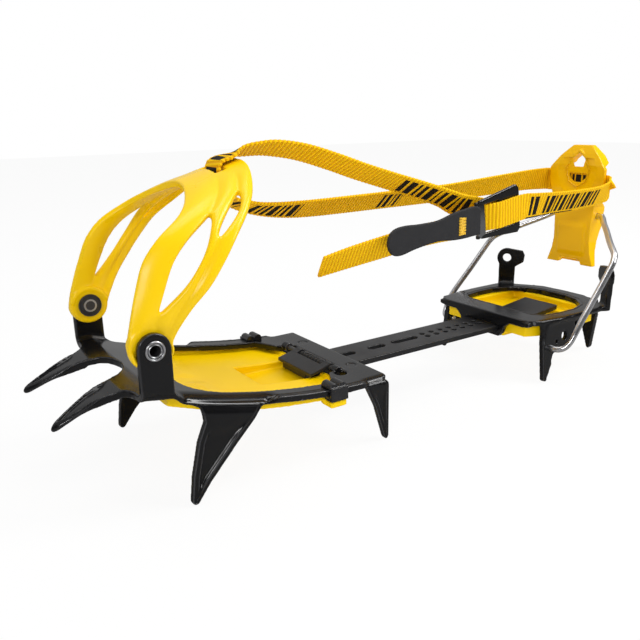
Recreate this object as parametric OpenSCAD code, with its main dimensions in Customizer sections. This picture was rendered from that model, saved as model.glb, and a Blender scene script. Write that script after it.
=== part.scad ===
// Ten-point strap crampon for the left boot, standing on its eight lower points.
// Millimetres. X runs from toe (-) to heel (+), Y from the outer side of the foot (-)
// to the inner side (+), Z up. Every module is drawn with X = 0 at the toe pivots,
// and place() moves it so that the origin is the middle of the footprint.

/* [Set-up] */
// Distance from the toe pivots to the bail pivots, set by the linking bar
pivot_gap = 231; // [207:1:243]

/* [Steel sheet] */
// Thickness of the stamped steel
sheet_t = 3; // [2.5:0.1:3.5]
// Width of the rim round the front opening
rim_w = 9; // [8:0.5:11]

/* [Front section] */
// Toe pivots to the rear edge of the crossbar
front_len = 110; // [106:1:116]
// Half of the greatest width of the front section
frame_half_w = 46; // [45:0.5:48]
// Height of the sheet's top at the toe
toe_z = 49.5; // [47:0.5:51]
// Height of the sheet's top at the crossbar
waist_z = 31.5; // [31.5:0.5:33]
// Reach of the front points ahead of the toe pivots
front_reach = 34; // [30:1:38]
// Drop of the front points from the sheet to their tips
front_droop = 9.5; // [8:0.5:13]
// Depth of the ribbed front points
front_point_t = 3.6; // [3:0.2:5]
// Half of the distance between the two front tips
front_tip_y = 23.5; // [22:0.5:25]
// Length of the crossbar's sheet along the foot
crossbar_w = 11.5; // [10:0.5:12]

/* [Lower points] */
// Width of every point at its tip
tip_w = 2.6; // [2:0.2:4]
// Place of the second points' tips behind the toe pivots
second_tip_x = 10.5; // [8:0.5:12]
// Width of the second points where they leave the sheet
second_root_w = 30; // [26:1:31]
// Width of the crossbar's corner points at their root
corner_root_w = 13; // [10:1:14]
// Angle that the heel's side points lean outwards
heel_splay = 6; // [3:1:8]
// Width of the rear points at their root
rear_root_w = 14; // [11:1:16]

/* [Toe posts and pivots] */
// Height of the toe pivots above the ground
pivot_z = 66.3; // [64:0.1:68]
// Distance from the middle of the foot to a post's outer face
post_y = 44; // [43:0.5:44.5]
// Width of a post
post_w = 13; // [12:0.5:14]
// Radius of the hollow rivets
rivet_r = 2.9; // [2.6:0.1:3.2]
// Radius of the hole through a hollow rivet
rivet_hole_r = 2.1; // [1.8:0.1:2.2]
// Radius of the rivets' turned-over rims
rivet_rim_r = 3.9; // [3.7:0.1:4.4]
// Radius of the caps on the inner side
cap_r = 5.6; // [5:0.1:6.2]

/* [Toe harness] */
// Thickness of the moulded harness
harness_t = 3; // [2.6:0.1:3.4]
// Radius of the harness's ears
ear_r = 8.6; // [8.2:0.2:9.4]
// Thickness of the ears
ear_t = 4; // [3.6:0.2:4.4]

/* [Linking bar] */
// Width of the bar
bar_w = 25; // [23:0.5:26]
// Thickness of the bar
bar_t = 3; // [2.5:0.1:3]
// Pitch of the pairs of round setting holes
hole_pitch = 6.8; // [6:0.2:7.2]
// Radius of the setting holes
setting_r = 1.6; // [1.3:0.1:1.8]
// Distance that the bar reaches under the front section
bar_grip = 25; // [24.5:0.5:28]

/* [Latch] */
// Radius of the latch's pin
latch_pin_r = 1.3; // [1.1:0.1:1.4]
// Width of the latch's tongue
tongue_w = 30; // [29:1:32]
// Diameter of the spring's wire
spring_wire = 0.7; // [0.5:0.1:0.8]
// Number of turns of the spring
spring_turns = 8; // [6:1:9]

/* [Heel section] */
// Height of the heel ring's top
ring_z = 35.5; // [35:0.5:37]
// Half width of the heel ring at its front corners
ring_front_w = 38; // [37:0.5:39]
// Half width of the heel ring at its widest
ring_half_w = 41; // [40:0.5:42]
// Length of the heel ring
ring_len = 77; // [74:1:80]
// Height of the heel posts' tops
heel_post_z = 59; // [56:0.5:62]
// Radius of the holes in the heel posts
heel_hole_r = 2.8; // [2.5:0.1:3]

/* [Heel bail and lever] */
// Radius of the bail's wire
wire_r = 1.75; // [1.5:0.05:1.9]
// Height of the bail's pivots
bail_z = 19; // [18:0.5:20]
// Distance from the bail's pivots back to the lever's axle
axle_dx = 71; // [68:1:73]
// Height of the lever's axle
axle_z = 84; // [82:1:86]
// Height of the lever above its axle
lever_up = 43; // [40:1:45]
// Length of the lever below its axle
lever_down = 31; // [28:1:33]
// Thickness of the lever's walls
lever_wall = 2.6; // [2.2:0.2:3]
// Depth of the lever's channel
lever_depth = 12; // [11:0.5:13]

/* [Anti-balling plates] */
// Thickness of the yellow plates
plate_t = 2.5; // [2:0.1:2.8]

/* [Strap and buckle] */
// Width of the strap
strap_w = 14; // [13:0.5:14.5]
// Thickness of the strap
strap_t = 1.6; // [1.4:0.1:1.8]
// Thickness of the buckle's frame
buckle_t = 2; // [1.8:0.1:2.2]
// Radius of the bright bar in the buckle
bright_bar_r = 1.6; // [1.4:0.1:1.8]

/* [Clearances] */
// Gap between a pin and the part that turns on it
run_gap = 0.05; // [0.03:0.01:0.08]
// Gap between parts that slide or hang beside each other
side_gap = 0.3; // [0.2:0.05:0.35]

/* [Hidden] */
$fn = 32;

steel = [0.09, 0.09, 0.1];
bright = [0.75, 0.76, 0.78];
yellow = [1, 0.8, 0.02];
dark = [0.16, 0.16, 0.17];

// Sheet of the front section: rocker towards the toe and droop of the front points
rocker_x = 100;
rocker_pow = 1.8;
droop_pow = 1.8;
function sheet_z(x) =
    x < 0 ? toe_z - front_droop * pow(min(1, -x / front_reach), droop_pow)
    : x < rocker_x ? waist_z + (toe_z - waist_z) * pow(1 - x / rocker_x, rocker_pow)
    : waist_z;

// Linking bar and what holds it
bar_top = waist_z - sheet_t - side_gap;
bar_z = bar_top - bar_t;
crossbar_x = front_len - crossbar_w;
bar_x0 = front_len - bar_grip;
ring_x0 = pivot_gap - 14;
ring_x1 = ring_x0 + ring_len;
bar_x1 = ring_x0 + 54;

// Latch
latch_x = crossbar_x - 3.2;
latch_z = waist_z - 0.7;
latch_boss_r = latch_pin_r + 1.2;
knuckle_r = latch_pin_r + 1.1;
knuckle_y = 10.6;
knuckle_w = tongue_w / 2 - knuckle_y;
latch_y = -2.5;
latch_gap_y = 19.5;

// Lever and bail
axle_x = pivot_gap + axle_dx;
lever_x = axle_x - 6;
lever_top_z = axle_z + lever_up;
bail_inner_y = ring_front_w - 4.5;

// Ends of the footprint: the front tips and the lever's side walls
wrap_x = lever_x + lever_wall + side_gap + strap_t / 2 + 0.4;
mid_x = (lever_x + lever_depth - front_reach) / 2;

// Buckle
buckle_x = axle_x - 105;
buckle_y = -26;
buckle_z = 96;
front_bar_dx = -14;
mid_bar_dx = 2;
rear_bar_dx = 14;
buckle_lean = 8;
buckle_half_front = strap_w / 2 + 2.6;
buckle_half_rear = strap_w / 2 + 5.9;

module place() {
    translate([-mid_x, 0, 0]) children();
}

// Draws a shape given in the X-Z plane with a thickness along Y, from y0 to y1
module across(y0, y1) {
    translate([0, y1, 0]) rotate([90, 0, 0]) linear_extrude(y1 - y0) children();
}

// Draws a shape given in the Y-Z plane with a thickness along X, from x0 to x1
module along(x0, x1) {
    translate([x0, 0, 0]) rotate([90, 0, 90]) linear_extrude(x1 - x0) children();
}

// A round hole or pin along Y
module y_pin(x, z, r, y0, y1) {
    translate([x, y1, z]) rotate([90, 0, 0]) cylinder(r = r, h = y1 - y0);
}

function lerp(a, b, t) = a + (b - a) * t;
function flip_y(pts) = [for (i = [len(pts) - 1:-1:0]) [pts[i][0], -pts[i][1]]];

// Smooth curve through hand-placed points, n steps between each two of them
function spline_at(p, q, r, s, t) =
    ((2 * q) + (r - p) * t + (2 * p - 5 * q + 4 * r - s) * t * t
     + (3 * q - p - 3 * r + s) * t * t * t) / 2;
function spline(pts, n) = [
    for (i = [0:len(pts) - 2])
        for (k = [0:(i == len(pts) - 2 ? n : n - 1)])
            spline_at(pts[max(0, i - 1)], pts[i], pts[i + 1], pts[min(len(pts) - 1, i + 2)], k / n)
];

// Tube or ribbon swept as one closed polyhedron; rings holds one list of points per station
module sweep(rings) {
    n = len(rings);
    m = len(rings[0]);
    polyhedron(
        points = [for (ring = rings) each ring],
        faces = concat(
            [for (i = [1:m - 2]) [0, i + 1, i]],
            [for (i = [1:m - 2]) [(n - 1) * m, (n - 1) * m + i, (n - 1) * m + i + 1]],
            [for (k = [0:n - 2]) for (i = [0:m - 1]) [k * m + i, k * m + m + (i + 1) % m, k * m + m + i]],
            [for (k = [0:n - 2]) for (i = [0:m - 1]) [k * m + i, k * m + (i + 1) % m, k * m + m + (i + 1) % m]]
        )
    );
}

function unit(v) = v / norm(v);
function tangent(pts, i) = unit(pts[min(len(pts) - 1, i + 1)] - pts[max(0, i - 1)]);

// Round wire along a path; side is a direction that the path never runs along
function wire_rings(path, r, sides, side) = [
    for (i = [0:len(path) - 1])
        let (t = tangent(path, i), u = unit(cross(t, side)), v = cross(t, u))
        [for (k = [0:sides - 1]) path[i] + r * (cos(360 * k / sides) * v + sin(360 * k / sides) * u)]
];

// Front section

function rim_y(x) = frame_half_w - 1.5 * pow(abs(x - 38) / 40, 2) / (1 + pow(abs(x - 38) / 60, 2));

front_outline_half = concat(
    [[front_len, rim_y(front_len) - 2.5], [front_len - 2.5, rim_y(front_len)]],
    [for (x = [front_len - 8:-8:post_w / 2 + 6]) [x, rim_y(x)]],
    [[post_w / 2, post_y], [-post_w / 2, post_y]],
    [for (a = [0:22.5:90]) [-post_w / 2 - 8 + 8 * cos(a), 36 - 8 * sin(a)]],
    spline([[-20, 27.5], [-28, 26.6], [-front_reach, front_tip_y + tip_w / 2]], 2),
    spline([[-front_reach, front_tip_y - tip_w / 2], [-28, 18.6], [-20, 15.6], [-12, 14.4],
            [-5, 12], [-1, 6.5], [0.5, 0]], 2)
);

module front_outline() {
    polygon(concat(front_outline_half, flip_y(front_outline_half)));
}

// Opening of the front section, with its corners cut across beside the crossbar
opening_x0 = 15;
opening_corner_x = crossbar_x - 15;
front_opening_half = concat(
    [[crossbar_x, 0], [crossbar_x, latch_gap_y + 0.5]],
    [[opening_corner_x + 6, latch_gap_y + 5], [opening_corner_x, rim_y(opening_corner_x) - rim_w]],
    [for (x = [opening_corner_x - 8:-8:opening_x0 + 12]) [x, rim_y(x) - rim_w]],
    [for (a = [0:22.5:90]) [opening_x0 + 12 - 12 * sin(a), rim_y(20) - rim_w - 12 + 12 * cos(a)]]
);

// Side view of the sheet between its top and its underside
function sheet_band(top_gap, x0, x1, depth) = concat(
    [for (x = [x0:4:x1]) [x, sheet_z(x) + top_gap]],
    [for (x = [x1:-4:x0]) [x, sheet_z(x) + top_gap - depth]]
);

// Second points: bent down from the rim
second_root_x = second_tip_x + 5;
second_outline = concat(
    [[second_root_x - 6, sheet_z(second_root_x - 6) - 1]],
    [[second_root_x + 0.5, sheet_z(second_root_x) - 5], [second_root_x + 1.5, sheet_z(second_root_x) - 11]],
    [[second_tip_x + 3.2, 26], [second_tip_x, 12], [second_tip_x - tip_w / 2, 1.2]],
    [[second_tip_x - tip_w / 2 + 1, 0], [second_tip_x + tip_w / 2, 0]],
    [[second_tip_x + 7.4, 8], [second_tip_x + 19.5, 21], [second_tip_x + second_root_w - 2, 29.5]],
    [[second_tip_x + second_root_w + 3, sheet_z(second_tip_x + second_root_w + 3) - sheet_t]],
    [[second_tip_x + second_root_w + 3, sheet_z(second_tip_x + second_root_w + 3) - 1]]
);

// Corner points: bent down from the ends of the crossbar
corner_outline = [
    [front_len - 1, waist_z - 1], [front_len, waist_z - 3], [front_len, 1.2], [front_len - 0.8, 0],
    [front_len - tip_w + 0.8, 0], [front_len - tip_w, 1.2], [front_len - corner_root_w * 0.6, 18],
    [front_len - corner_root_w, waist_z - sheet_t], [front_len - corner_root_w, waist_z - 1]
];

lug_hole_x = crossbar_x - 4.5;
lug_hole_y = -27.5;
guide_rivet_x = front_len - 5.5;
guide_rivet_y = 21.5;
guide_rivet_r = 1.6;
guide_head_r = guide_rivet_r + 0.9;
rivet_sink = 1;

module front_sheet() {
    intersection() {
        across(-60, 60) polygon(sheet_band(0, -front_reach - 2, front_len + 4, sheet_t));
        translate([0, 0, 20]) linear_extrude(40) difference() {
            front_outline();
            polygon(concat(front_opening_half, flip_y(front_opening_half)));
        }
    }
    intersection() {
        across(-60, 60) polygon(sheet_band(0, -front_reach - 2, -10, front_point_t));
        translate([0, 0, 20]) linear_extrude(40) front_outline();
    }
}

module toe_post(side) {
    y_in = post_y - sheet_t;
    mirror([0, side < 0 ? 1 : 0, 0]) difference() {
        union() {
            y_pin(0, pivot_z, post_w / 2, y_in, post_y);
            across(y_in, post_y) polygon([
                [-post_w / 2, toe_z - sheet_t], [post_w / 2, sheet_z(post_w / 2) - sheet_t],
                [post_w / 2, pivot_z], [-post_w / 2, pivot_z]
            ]);
        }
        y_pin(0, pivot_z, rivet_r, y_in - 1, post_y + 1);
    }
}

module front_frame() color(steel) place() difference() {
    union() {
        front_sheet();
        for (side = [-1, 1]) {
            toe_post(side);
            mirror([0, side < 0 ? 1 : 0, 0]) {
                y_pin(latch_x, latch_z, latch_boss_r, latch_gap_y + 0.4, latch_gap_y + 5);
                across(frame_half_w - 0.5 - sheet_t, frame_half_w - 0.5) polygon(second_outline);
                translate([0, rim_y(front_len) - sheet_t, 0]) across(0, sheet_t) polygon(corner_outline);
            }
        }
    }
    translate([lug_hole_x, lug_hole_y, 0]) cylinder(r = 3, h = 60);
    for (side = [-1, 1]) {
        translate([guide_rivet_x, side * guide_rivet_y, 0]) cylinder(r = guide_rivet_r, h = 60);
        translate([guide_rivet_x, side * guide_rivet_y, waist_z - rivet_sink])
            cylinder(r = guide_head_r, h = 60);
    }
    y_pin(latch_x, latch_z, latch_pin_r, -latch_gap_y - 4, latch_gap_y + 4);
}

// Place and length of the clips; the outer one sits nearer to the toe
function clip_at(side) = front_len - (side < 0 ? 30 : 25.5);
clip_len = 9;
lug_len = 8.4;
lug_t = 3;

// Front anti-balling plate: a shallow tub under the sheet, with a trough for the bar and a
// lug under each clip
tub_x0 = opening_x0 - 7;
tub_x1 = crossbar_x - 5;
trough_x0 = bar_x0 - 28;
trough_y = bar_w / 2 + 1.5;
tub_low_z = bar_z + 1.6;
function tub_floor_z(x) =
    tub_low_z + (toe_z - sheet_t - 5 - tub_low_z) * pow(max(0, 1 - x / rocker_x), rocker_pow);

module tub_plan(inset) {
    half = concat(
        [[tub_x1 - inset, 0], [tub_x1 - inset, rim_y(tub_x1) - 8 - inset]],
        [for (x = [tub_x1 - 6:-8:tub_x0 + 14]) [x, rim_y(x) - sheet_t - 1.2 - inset]],
        [[tub_x0 + inset, 30 - inset], [tub_x0 + inset, 0]]
    );
    polygon(concat(half, flip_y(half)));
}

module tub_side(top_gap, floor_gap, x0, x1) {
    polygon(concat(
        [for (x = [x0:4:x1]) [x, sheet_z(x) - sheet_t - top_gap]],
        [for (x = [x1:-4:x0]) [x, tub_floor_z(x) - floor_gap]]
    ));
}

module front_snow_plate() color(yellow) place() difference() {
    union() {
        intersection() {
            across(-60, 60) tub_side(side_gap, plate_t, tub_x0 - 2, tub_x1 + 6);
            linear_extrude(60) tub_plan(0);
        }
        translate([trough_x0, -trough_y - 2, bar_z - 1 - plate_t])
            cube([tub_x1 - trough_x0, 2 * trough_y + 4, plate_t + 3]);
        for (side = [-1, 1]) mirror([0, side < 0 ? 1 : 0, 0])
            translate([clip_at(side) - lug_len / 2, rim_y(clip_at(side)) - 6,
                       sheet_z(clip_at(side)) - sheet_t - 2 - side_gap - lug_t])
                cube([lug_len, 7.2, lug_t]);
    }
    intersection() {
        across(-60, 60) tub_side(-5, 0, tub_x0 - 2, tub_x1 + 6);
        linear_extrude(60) tub_plan(plate_t);
    }
    translate([trough_x0 + 2, -trough_y, bar_z - 1]) cube([60, 2 * trough_y, 30]);
}

// Black clips that hold the plate to the rim
module snow_plate_clip(side) {
    clip_x = clip_at(side);
    y_in = rim_y(clip_x) - rim_w + 2.5;
    y_out = rim_y(clip_x) + 1.8;
    mirror([0, side < 0 ? 1 : 0, 0]) difference() {
        union() {
            translate([clip_x - clip_len / 2, y_in, sheet_z(clip_x) - sheet_t - 2])
                cube([clip_len, y_out - y_in, sheet_t + 3.2]);
            for (dx = [-2.2, 2.2])
                y_pin(clip_x + dx, sheet_z(clip_x) + 0.8, 2.2, y_in, y_out - 1);
        }
        intersection() {
            across(0, 60) polygon(sheet_band(0.05, clip_x - 23.5, clip_x + 24.5, sheet_t + 0.1));
            linear_extrude(60) translate([clip_x - 25, 0]) square([50, rim_y(clip_x) + 0.2]);
        }
        intersection() {
            across(-60, 60) tub_side(side_gap - 0.4, plate_t + 0.1, tub_x0 - 2, tub_x1 + 6);
            linear_extrude(60) tub_plan(-0.1);
        }
    }
}

module snow_plate_clip_left() color(dark) place() snow_plate_clip(-1);
module snow_plate_clip_right() color(dark) place() snow_plate_clip(1);

// Hollow rivets and their caps
ear_out = post_y - sheet_t - side_gap;
ear_in = ear_out - ear_t;

module toe_rivet(side) {
    mirror([0, side < 0 ? 1 : 0, 0]) difference() {
        union() {
            y_pin(0, pivot_z, rivet_r, ear_in - 1.2, post_y + 0.5);
            y_pin(0, pivot_z, rivet_rim_r, post_y, post_y + 0.9);
        }
        y_pin(0, pivot_z, rivet_hole_r, ear_in - 2, post_y + 2);
    }
}

module rivet_cap(side) {
    mirror([0, side < 0 ? 1 : 0, 0]) difference() {
        union() {
            y_pin(0, pivot_z, cap_r, ear_in - 1.6, ear_in - side_gap);
            y_pin(0, pivot_z, cap_r - 1, ear_in - 2.3, ear_in - 1.5);
        }
        y_pin(0, pivot_z, rivet_r, ear_in - 1.2, ear_in);
    }
}

module toe_rivet_left() color(bright) place() toe_rivet(-1);
module toe_rivet_right() color(bright) place() toe_rivet(1);
module rivet_cap_left() color(dark) place() rivet_cap(-1);
module rivet_cap_right() color(dark) place() rivet_cap(1);

// Toe harness: a moulded arch between a front edge and a rear edge, with a long window and
// a short one in each arm and a slot for the strap at the top. Both edges are given from
// the top's middle down to the ear, for the inner side of the foot, above the pivots.
harness_front = [
    [31, 0, 54.6], [30.5, 7, 53.8], [28.5, 14, 52], [23.5, 24, 48.2], [17.5, 30, 44.2], [8, 33.5, 38],
    [1.5, 34.5, 30.7], [-2.5, 35.8, 20.7], [-5, 37.4, 11.7], [-6.5, 38.6, 4.7], [-7, 38.8, 0]
];
harness_rear = [
    [59.6, 0, 62.6], [58.8, 9, 61.8], [56, 19, 58.6], [51, 29, 52.5], [45, 36, 46.2], [36.5, 42.4, 38],
    [29.4, 45, 29.2], [22.8, 45.2, 20.7], [16, 42.4, 12.7], [10.6, 39.2, 4.7], [8.4, 38.8, 0]
];
harness_n = 2;
harness_half = len(harness_front) * harness_n - harness_n;
harness_last = 2 * harness_half;
function harness_u(i) = abs(i - harness_half) / harness_n;
function harness_side(i) = i < harness_half ? 1 : -1;
function mirror_point(p, side) = [p[0], p[1] * side, p[2]];
front_edge = spline(harness_front, harness_n);
rear_edge = spline(harness_rear, harness_n);
function edge_point(edge, i) =
    mirror_point(edge[abs(i - harness_half)] + [0, 0, pivot_z], harness_side(i));
function bump(u, a, b) = u <= a || u >= b ? 0 : pow(sin(180 * (u - a) / (b - a)), 0.75);

// Across the harness from front edge (0) to rear edge (1): the four sides of its two windows
long_from = 4;
long_to = 8;
short_from = 2.9;
short_to = 5.1;
slot_to = 1.2;
function is_slot(u) = u < slot_to;
function long_open(u) = is_slot(u) ? 0.09 : 0.165 * bump(u, long_from, long_to);
function long_mid(u) =
    is_slot(u) ? 0.6 : 0.45 + 0.09 * bump(u, long_from, long_to) + 0.12 * max(0, (long_from - u) / long_from);
function short_open(u) = 0.085 * bump(u, short_from, short_to);
function short_mid(u) = 0.78;
function columns(u) = [
    0, long_mid(u) - long_open(u), long_mid(u) + long_open(u),
    short_mid(u) - short_open(u), short_mid(u) + short_open(u), 1
];
function closed_at(u, col) = col == 2 ? long_open(u) == 0 : col == 4 ? short_open(u) == 0 : false;

function harness_normal(i) =
    let (a = edge_point(front_edge, max(0, i - 1)), b = edge_point(front_edge, min(harness_last, i + 1)),
         c = edge_point(rear_edge, max(0, i - 1)), d = edge_point(rear_edge, min(harness_last, i + 1)))
    unit(cross((c + d - a - b) / 2, (b + d - a - c) / 2));
harness_points = [
    for (i = [0:harness_last])
        let (u = harness_u(i), f = edge_point(front_edge, i), r = edge_point(rear_edge, i),
             n = harness_normal(i), v = columns(u))
        each [for (h = [-0.5, 0.5]) for (k = [0:5]) lerp(f, r, v[k]) + n * harness_t * h]
];
// Index of a point: station i, column col, layer 0 or 1; a closed window has one column
function hp(i, col, layer) = i * 12 + layer * 6 + (closed_at(harness_u(i), col) ? col - 1 : col);
function two(a, b, c, d) = concat(
    a == b || b == c || a == c ? [] : [[a, b, c]],
    a == c || c == d || a == d ? [] : [[a, c, d]]
);
function strip_faces(i, c0, c1) = concat(
    two(hp(i, c0, 1), hp(i + 1, c0, 1), hp(i + 1, c1, 1), hp(i, c1, 1)),
    two(hp(i, c0, 0), hp(i, c1, 0), hp(i + 1, c1, 0), hp(i + 1, c0, 0))
);
function wall_faces(i, col, dir) =
    dir > 0 ? two(hp(i, col, 0), hp(i + 1, col, 0), hp(i + 1, col, 1), hp(i, col, 1))
    : two(hp(i, col, 0), hp(i, col, 1), hp(i + 1, col, 1), hp(i + 1, col, 0));
function window_walls(i, col) =
    closed_at(harness_u(i), col + 1) && closed_at(harness_u(i + 1), col + 1) ? []
    : concat(wall_faces(i, col, -1), wall_faces(i, col + 1, 1));
harness_faces = concat(
    [for (i = [0:harness_last - 1]) each concat(
        strip_faces(i, 0, 1), strip_faces(i, 2, 3), strip_faces(i, 4, 5),
        wall_faces(i, 0, 1), wall_faces(i, 5, -1), window_walls(i, 1), window_walls(i, 3))],
    [for (c = [0, 2, 4]) each two(hp(0, c, 0), hp(0, c, 1), hp(0, c + 1, 1), hp(0, c + 1, 0))],
    [for (c = [0, 2, 4]) each two(hp(harness_last, c, 0), hp(harness_last, c + 1, 0),
                                  hp(harness_last, c + 1, 1), hp(harness_last, c, 1))]
);

module toe_harness() color(yellow) place() difference() {
    union() {
        polyhedron(points = harness_points, faces = harness_faces);
        for (side = [-1, 1]) mirror([0, side < 0 ? 1 : 0, 0]) y_pin(0, pivot_z, ear_r, ear_in, ear_out);
    }
    for (side = [-1, 1]) mirror([0, side < 0 ? 1 : 0, 0])
        y_pin(0, pivot_z, rivet_r + run_gap, ear_in - 1, ear_out + 1);
}

// Latch: tongue with two knuckles on a pin, and the coil that holds it down
module latch_lever() color(dark) place() translate([0, latch_y, 0]) difference() {
    union() {
        across(-tongue_w / 2, tongue_w / 2) polygon([
            [latch_x - 11.6, bar_top + side_gap], [latch_x - 3, latch_z - 0.6],
            [latch_x - 3, latch_z + 1.4], [latch_x - 11.6, bar_top + side_gap + 1.6]
        ]);
        for (side = [-1, 1]) mirror([0, side < 0 ? 1 : 0, 0]) {
            y_pin(latch_x, latch_z, knuckle_r, knuckle_y, knuckle_y + knuckle_w);
            across(knuckle_y, tongue_w / 2) polygon([
                [latch_x - 3.4, latch_z - 0.7], [latch_x, latch_z - knuckle_r],
                [latch_x, latch_z + knuckle_r], [latch_x - 3.4, latch_z + 1.4]
            ]);
        }
    }
    y_pin(latch_x, latch_z, latch_pin_r + run_gap, -tongue_w, tongue_w);
}

module latch_pin() color(dark) place()
    y_pin(latch_x, latch_z, latch_pin_r, -latch_gap_y - 4, latch_gap_y + 4);

spring_r = latch_pin_r + spring_wire / 2 + side_gap;
spring_len = 2 * (knuckle_y - side_gap) - spring_wire;
spring_steps = 8;
spring_path = [
    for (i = [0:spring_turns * spring_steps])
        let (a = 360 * i / spring_steps)
        [latch_x + spring_r * cos(a), -spring_len / 2 + spring_len * i / (spring_turns * spring_steps),
         latch_z + spring_r * sin(a)]
];
// Least gap between a turn of the spring and the next ones, measured on its points
spring_gap = min([
    for (i = [0:len(spring_path) - 1 - spring_steps / 2])
        for (j = [i + spring_steps / 2:min(len(spring_path) - 1, i + 2 * spring_steps)])
            norm(spring_path[i] - spring_path[j])
]) - spring_wire;
echo(spring_gap = spring_gap);

module latch_spring() color(dark) place() translate([0, latch_y, 0])
    sweep(wire_rings(spring_path, spring_wire / 2, 6, [0, 1, 0.001]));

// Guide under the crossbar that carries the bar, and the two rivets that hold it
guide_y = bar_w / 2 + side_gap;
module bar_guide() color(steel) place() difference() {
    along(crossbar_x + 0.5, front_len - 0.5) polygon([
        [guide_rivet_y + 4, waist_z - sheet_t], [-guide_rivet_y - 4, waist_z - sheet_t],
        [-guide_rivet_y - 4, waist_z - sheet_t - 2], [-guide_y - 2, waist_z - sheet_t - 2],
        [-guide_y - 2, bar_z - side_gap - 2], [guide_y + 2, bar_z - side_gap - 2],
        [guide_y + 2, waist_z - sheet_t - 2], [guide_rivet_y + 4, waist_z - sheet_t - 2]
    ]);
    along(crossbar_x, front_len) translate([-guide_y, bar_z - side_gap])
        square([2 * guide_y, bar_t + 3 * side_gap]);
    for (side = [-1, 1])
        translate([guide_rivet_x, side * guide_rivet_y, 0]) cylinder(r = guide_rivet_r, h = 60);
}

module guide_rivets() color(steel) place()
    for (side = [-1, 1]) translate([guide_rivet_x, side * guide_rivet_y, 0]) {
        translate([0, 0, waist_z - sheet_t - 2]) cylinder(r = guide_rivet_r, h = sheet_t + 2 - rivet_sink);
        translate([0, 0, waist_z - rivet_sink]) cylinder(r = guide_head_r, h = rivet_sink - 0.3);
        translate([0, 0, waist_z - sheet_t - 2.8]) cylinder(r = guide_head_r, h = 0.8);
    }

// Linking bar: slots near the front, pairs of round holes towards the heel, and an end
// that is bent up inside the heel ring
slot_w = 4.4;
module bar_slot(x0, x1) {
    translate([x0 + slot_w / 2, -slot_w / 2, 0]) cube([x1 - x0 - slot_w, slot_w, 60]);
    for (x = [x0 + slot_w / 2, x1 - slot_w / 2]) translate([x, 0, 0]) cylinder(r = slot_w / 2, h = 60);
}
first_slot_x = 112;
bar_bend_x = ring_x0 + 24;
bar_rise = 3.6;
module linking_bar() color(steel) place() difference() {
    union() {
        translate([0, 0, bar_z]) linear_extrude(bar_t) polygon([
            [bar_x0, -bar_w / 2 + 2], [bar_x0 + 2, -bar_w / 2], [bar_bend_x + 1, -bar_w / 2],
            [bar_bend_x + 1, bar_w / 2], [bar_x0 + 2, bar_w / 2], [bar_x0, bar_w / 2 - 2]
        ]);
        across(-bar_w / 2, bar_w / 2) polygon([
            [bar_bend_x, bar_z], [bar_x1, bar_z + bar_rise], [bar_x1, bar_z + bar_rise + bar_t],
            [bar_bend_x, bar_z + bar_t]
        ]);
    }
    for (x = [first_slot_x, first_slot_x + 20]) bar_slot(x, x + 11);
    bar_slot(first_slot_x + 36, first_slot_x + 54);
    for (x = [first_slot_x + 60:hole_pitch:ring_x0 - 4]) for (y = [-2.4, 2.4])
        translate([x, y, 0]) cylinder(r = setting_r, h = 60);
}

// Heel section: ring, front flange with the bar's slot, side plates, points and posts
ring_outline_half = concat(
    [[ring_x0, 0], [ring_x0, ring_front_w - 9]],
    [for (a = [0:30:90]) [ring_x0 + 9 - 9 * cos(a), ring_front_w - 9 + 9 * sin(a)]],
    [[ring_x0 + 22, ring_half_w - 0.6], [ring_x0 + 38, ring_half_w], [ring_x0 + 52, ring_half_w]],
    [[ring_x0 + 60.5, ring_half_w - 0.4], [ring_x0 + 71, ring_half_w - 15.7]],
    [[ring_x1 - 1, ring_half_w - 25]],
    [[ring_x1, 0]]
);
ring_window_half = [
    [ring_x0 + 15, 0], [ring_x0 + 15, 24], [ring_x0 + 18, 29], [ring_x0 + 30, 31.5],
    [ring_x0 + 44, 31.5], [ring_x0 + 55, 28], [ring_x0 + 63, 19], [ring_x1 - 11, 9], [ring_x1 - 10.5, 0]
];
rear_corner = [ring_x0 + 65.7, ring_half_w - 1.7];
rear_corner_turn = 55.5;
lobe_y = bar_w / 2 + 3.4;
lobe_z = bar_z - 3.2;

module heel_ring() {
    translate([0, 0, ring_z - sheet_t]) linear_extrude(sheet_t) difference() {
        polygon(concat(ring_outline_half, flip_y(ring_outline_half)));
        polygon(concat(ring_window_half, flip_y(ring_window_half)));
    }
}

module heel_flange() {
    half = [
        [ring_front_w - 3, ring_z - 1], [ring_front_w - 3, ring_z - 3.4], [ring_front_w - 8, ring_z - 4.2],
        [lobe_y + 5, ring_z - 4.2], [lobe_y + 1.6, ring_z - 7], [lobe_y, lobe_z + 2.5], [lobe_y - 2.5, lobe_z]
    ];
    difference() {
        along(ring_x0, ring_x0 + sheet_t) polygon(concat(half, [
            for (i = [len(half) - 1:-1:0]) [-half[i][0], half[i][1]]
        ]));
        translate([ring_x0 - 1, -guide_y, bar_z - side_gap])
            cube([sheet_t + 2, 2 * guide_y, bar_t + 2 * side_gap]);
    }
}

// Lowest height of a plate that hangs from the ring's top and leans by some angle
function leaning_tip_z(lean) = ring_z - (ring_z - sheet_t * sin(lean)) / cos(lean);

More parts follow.
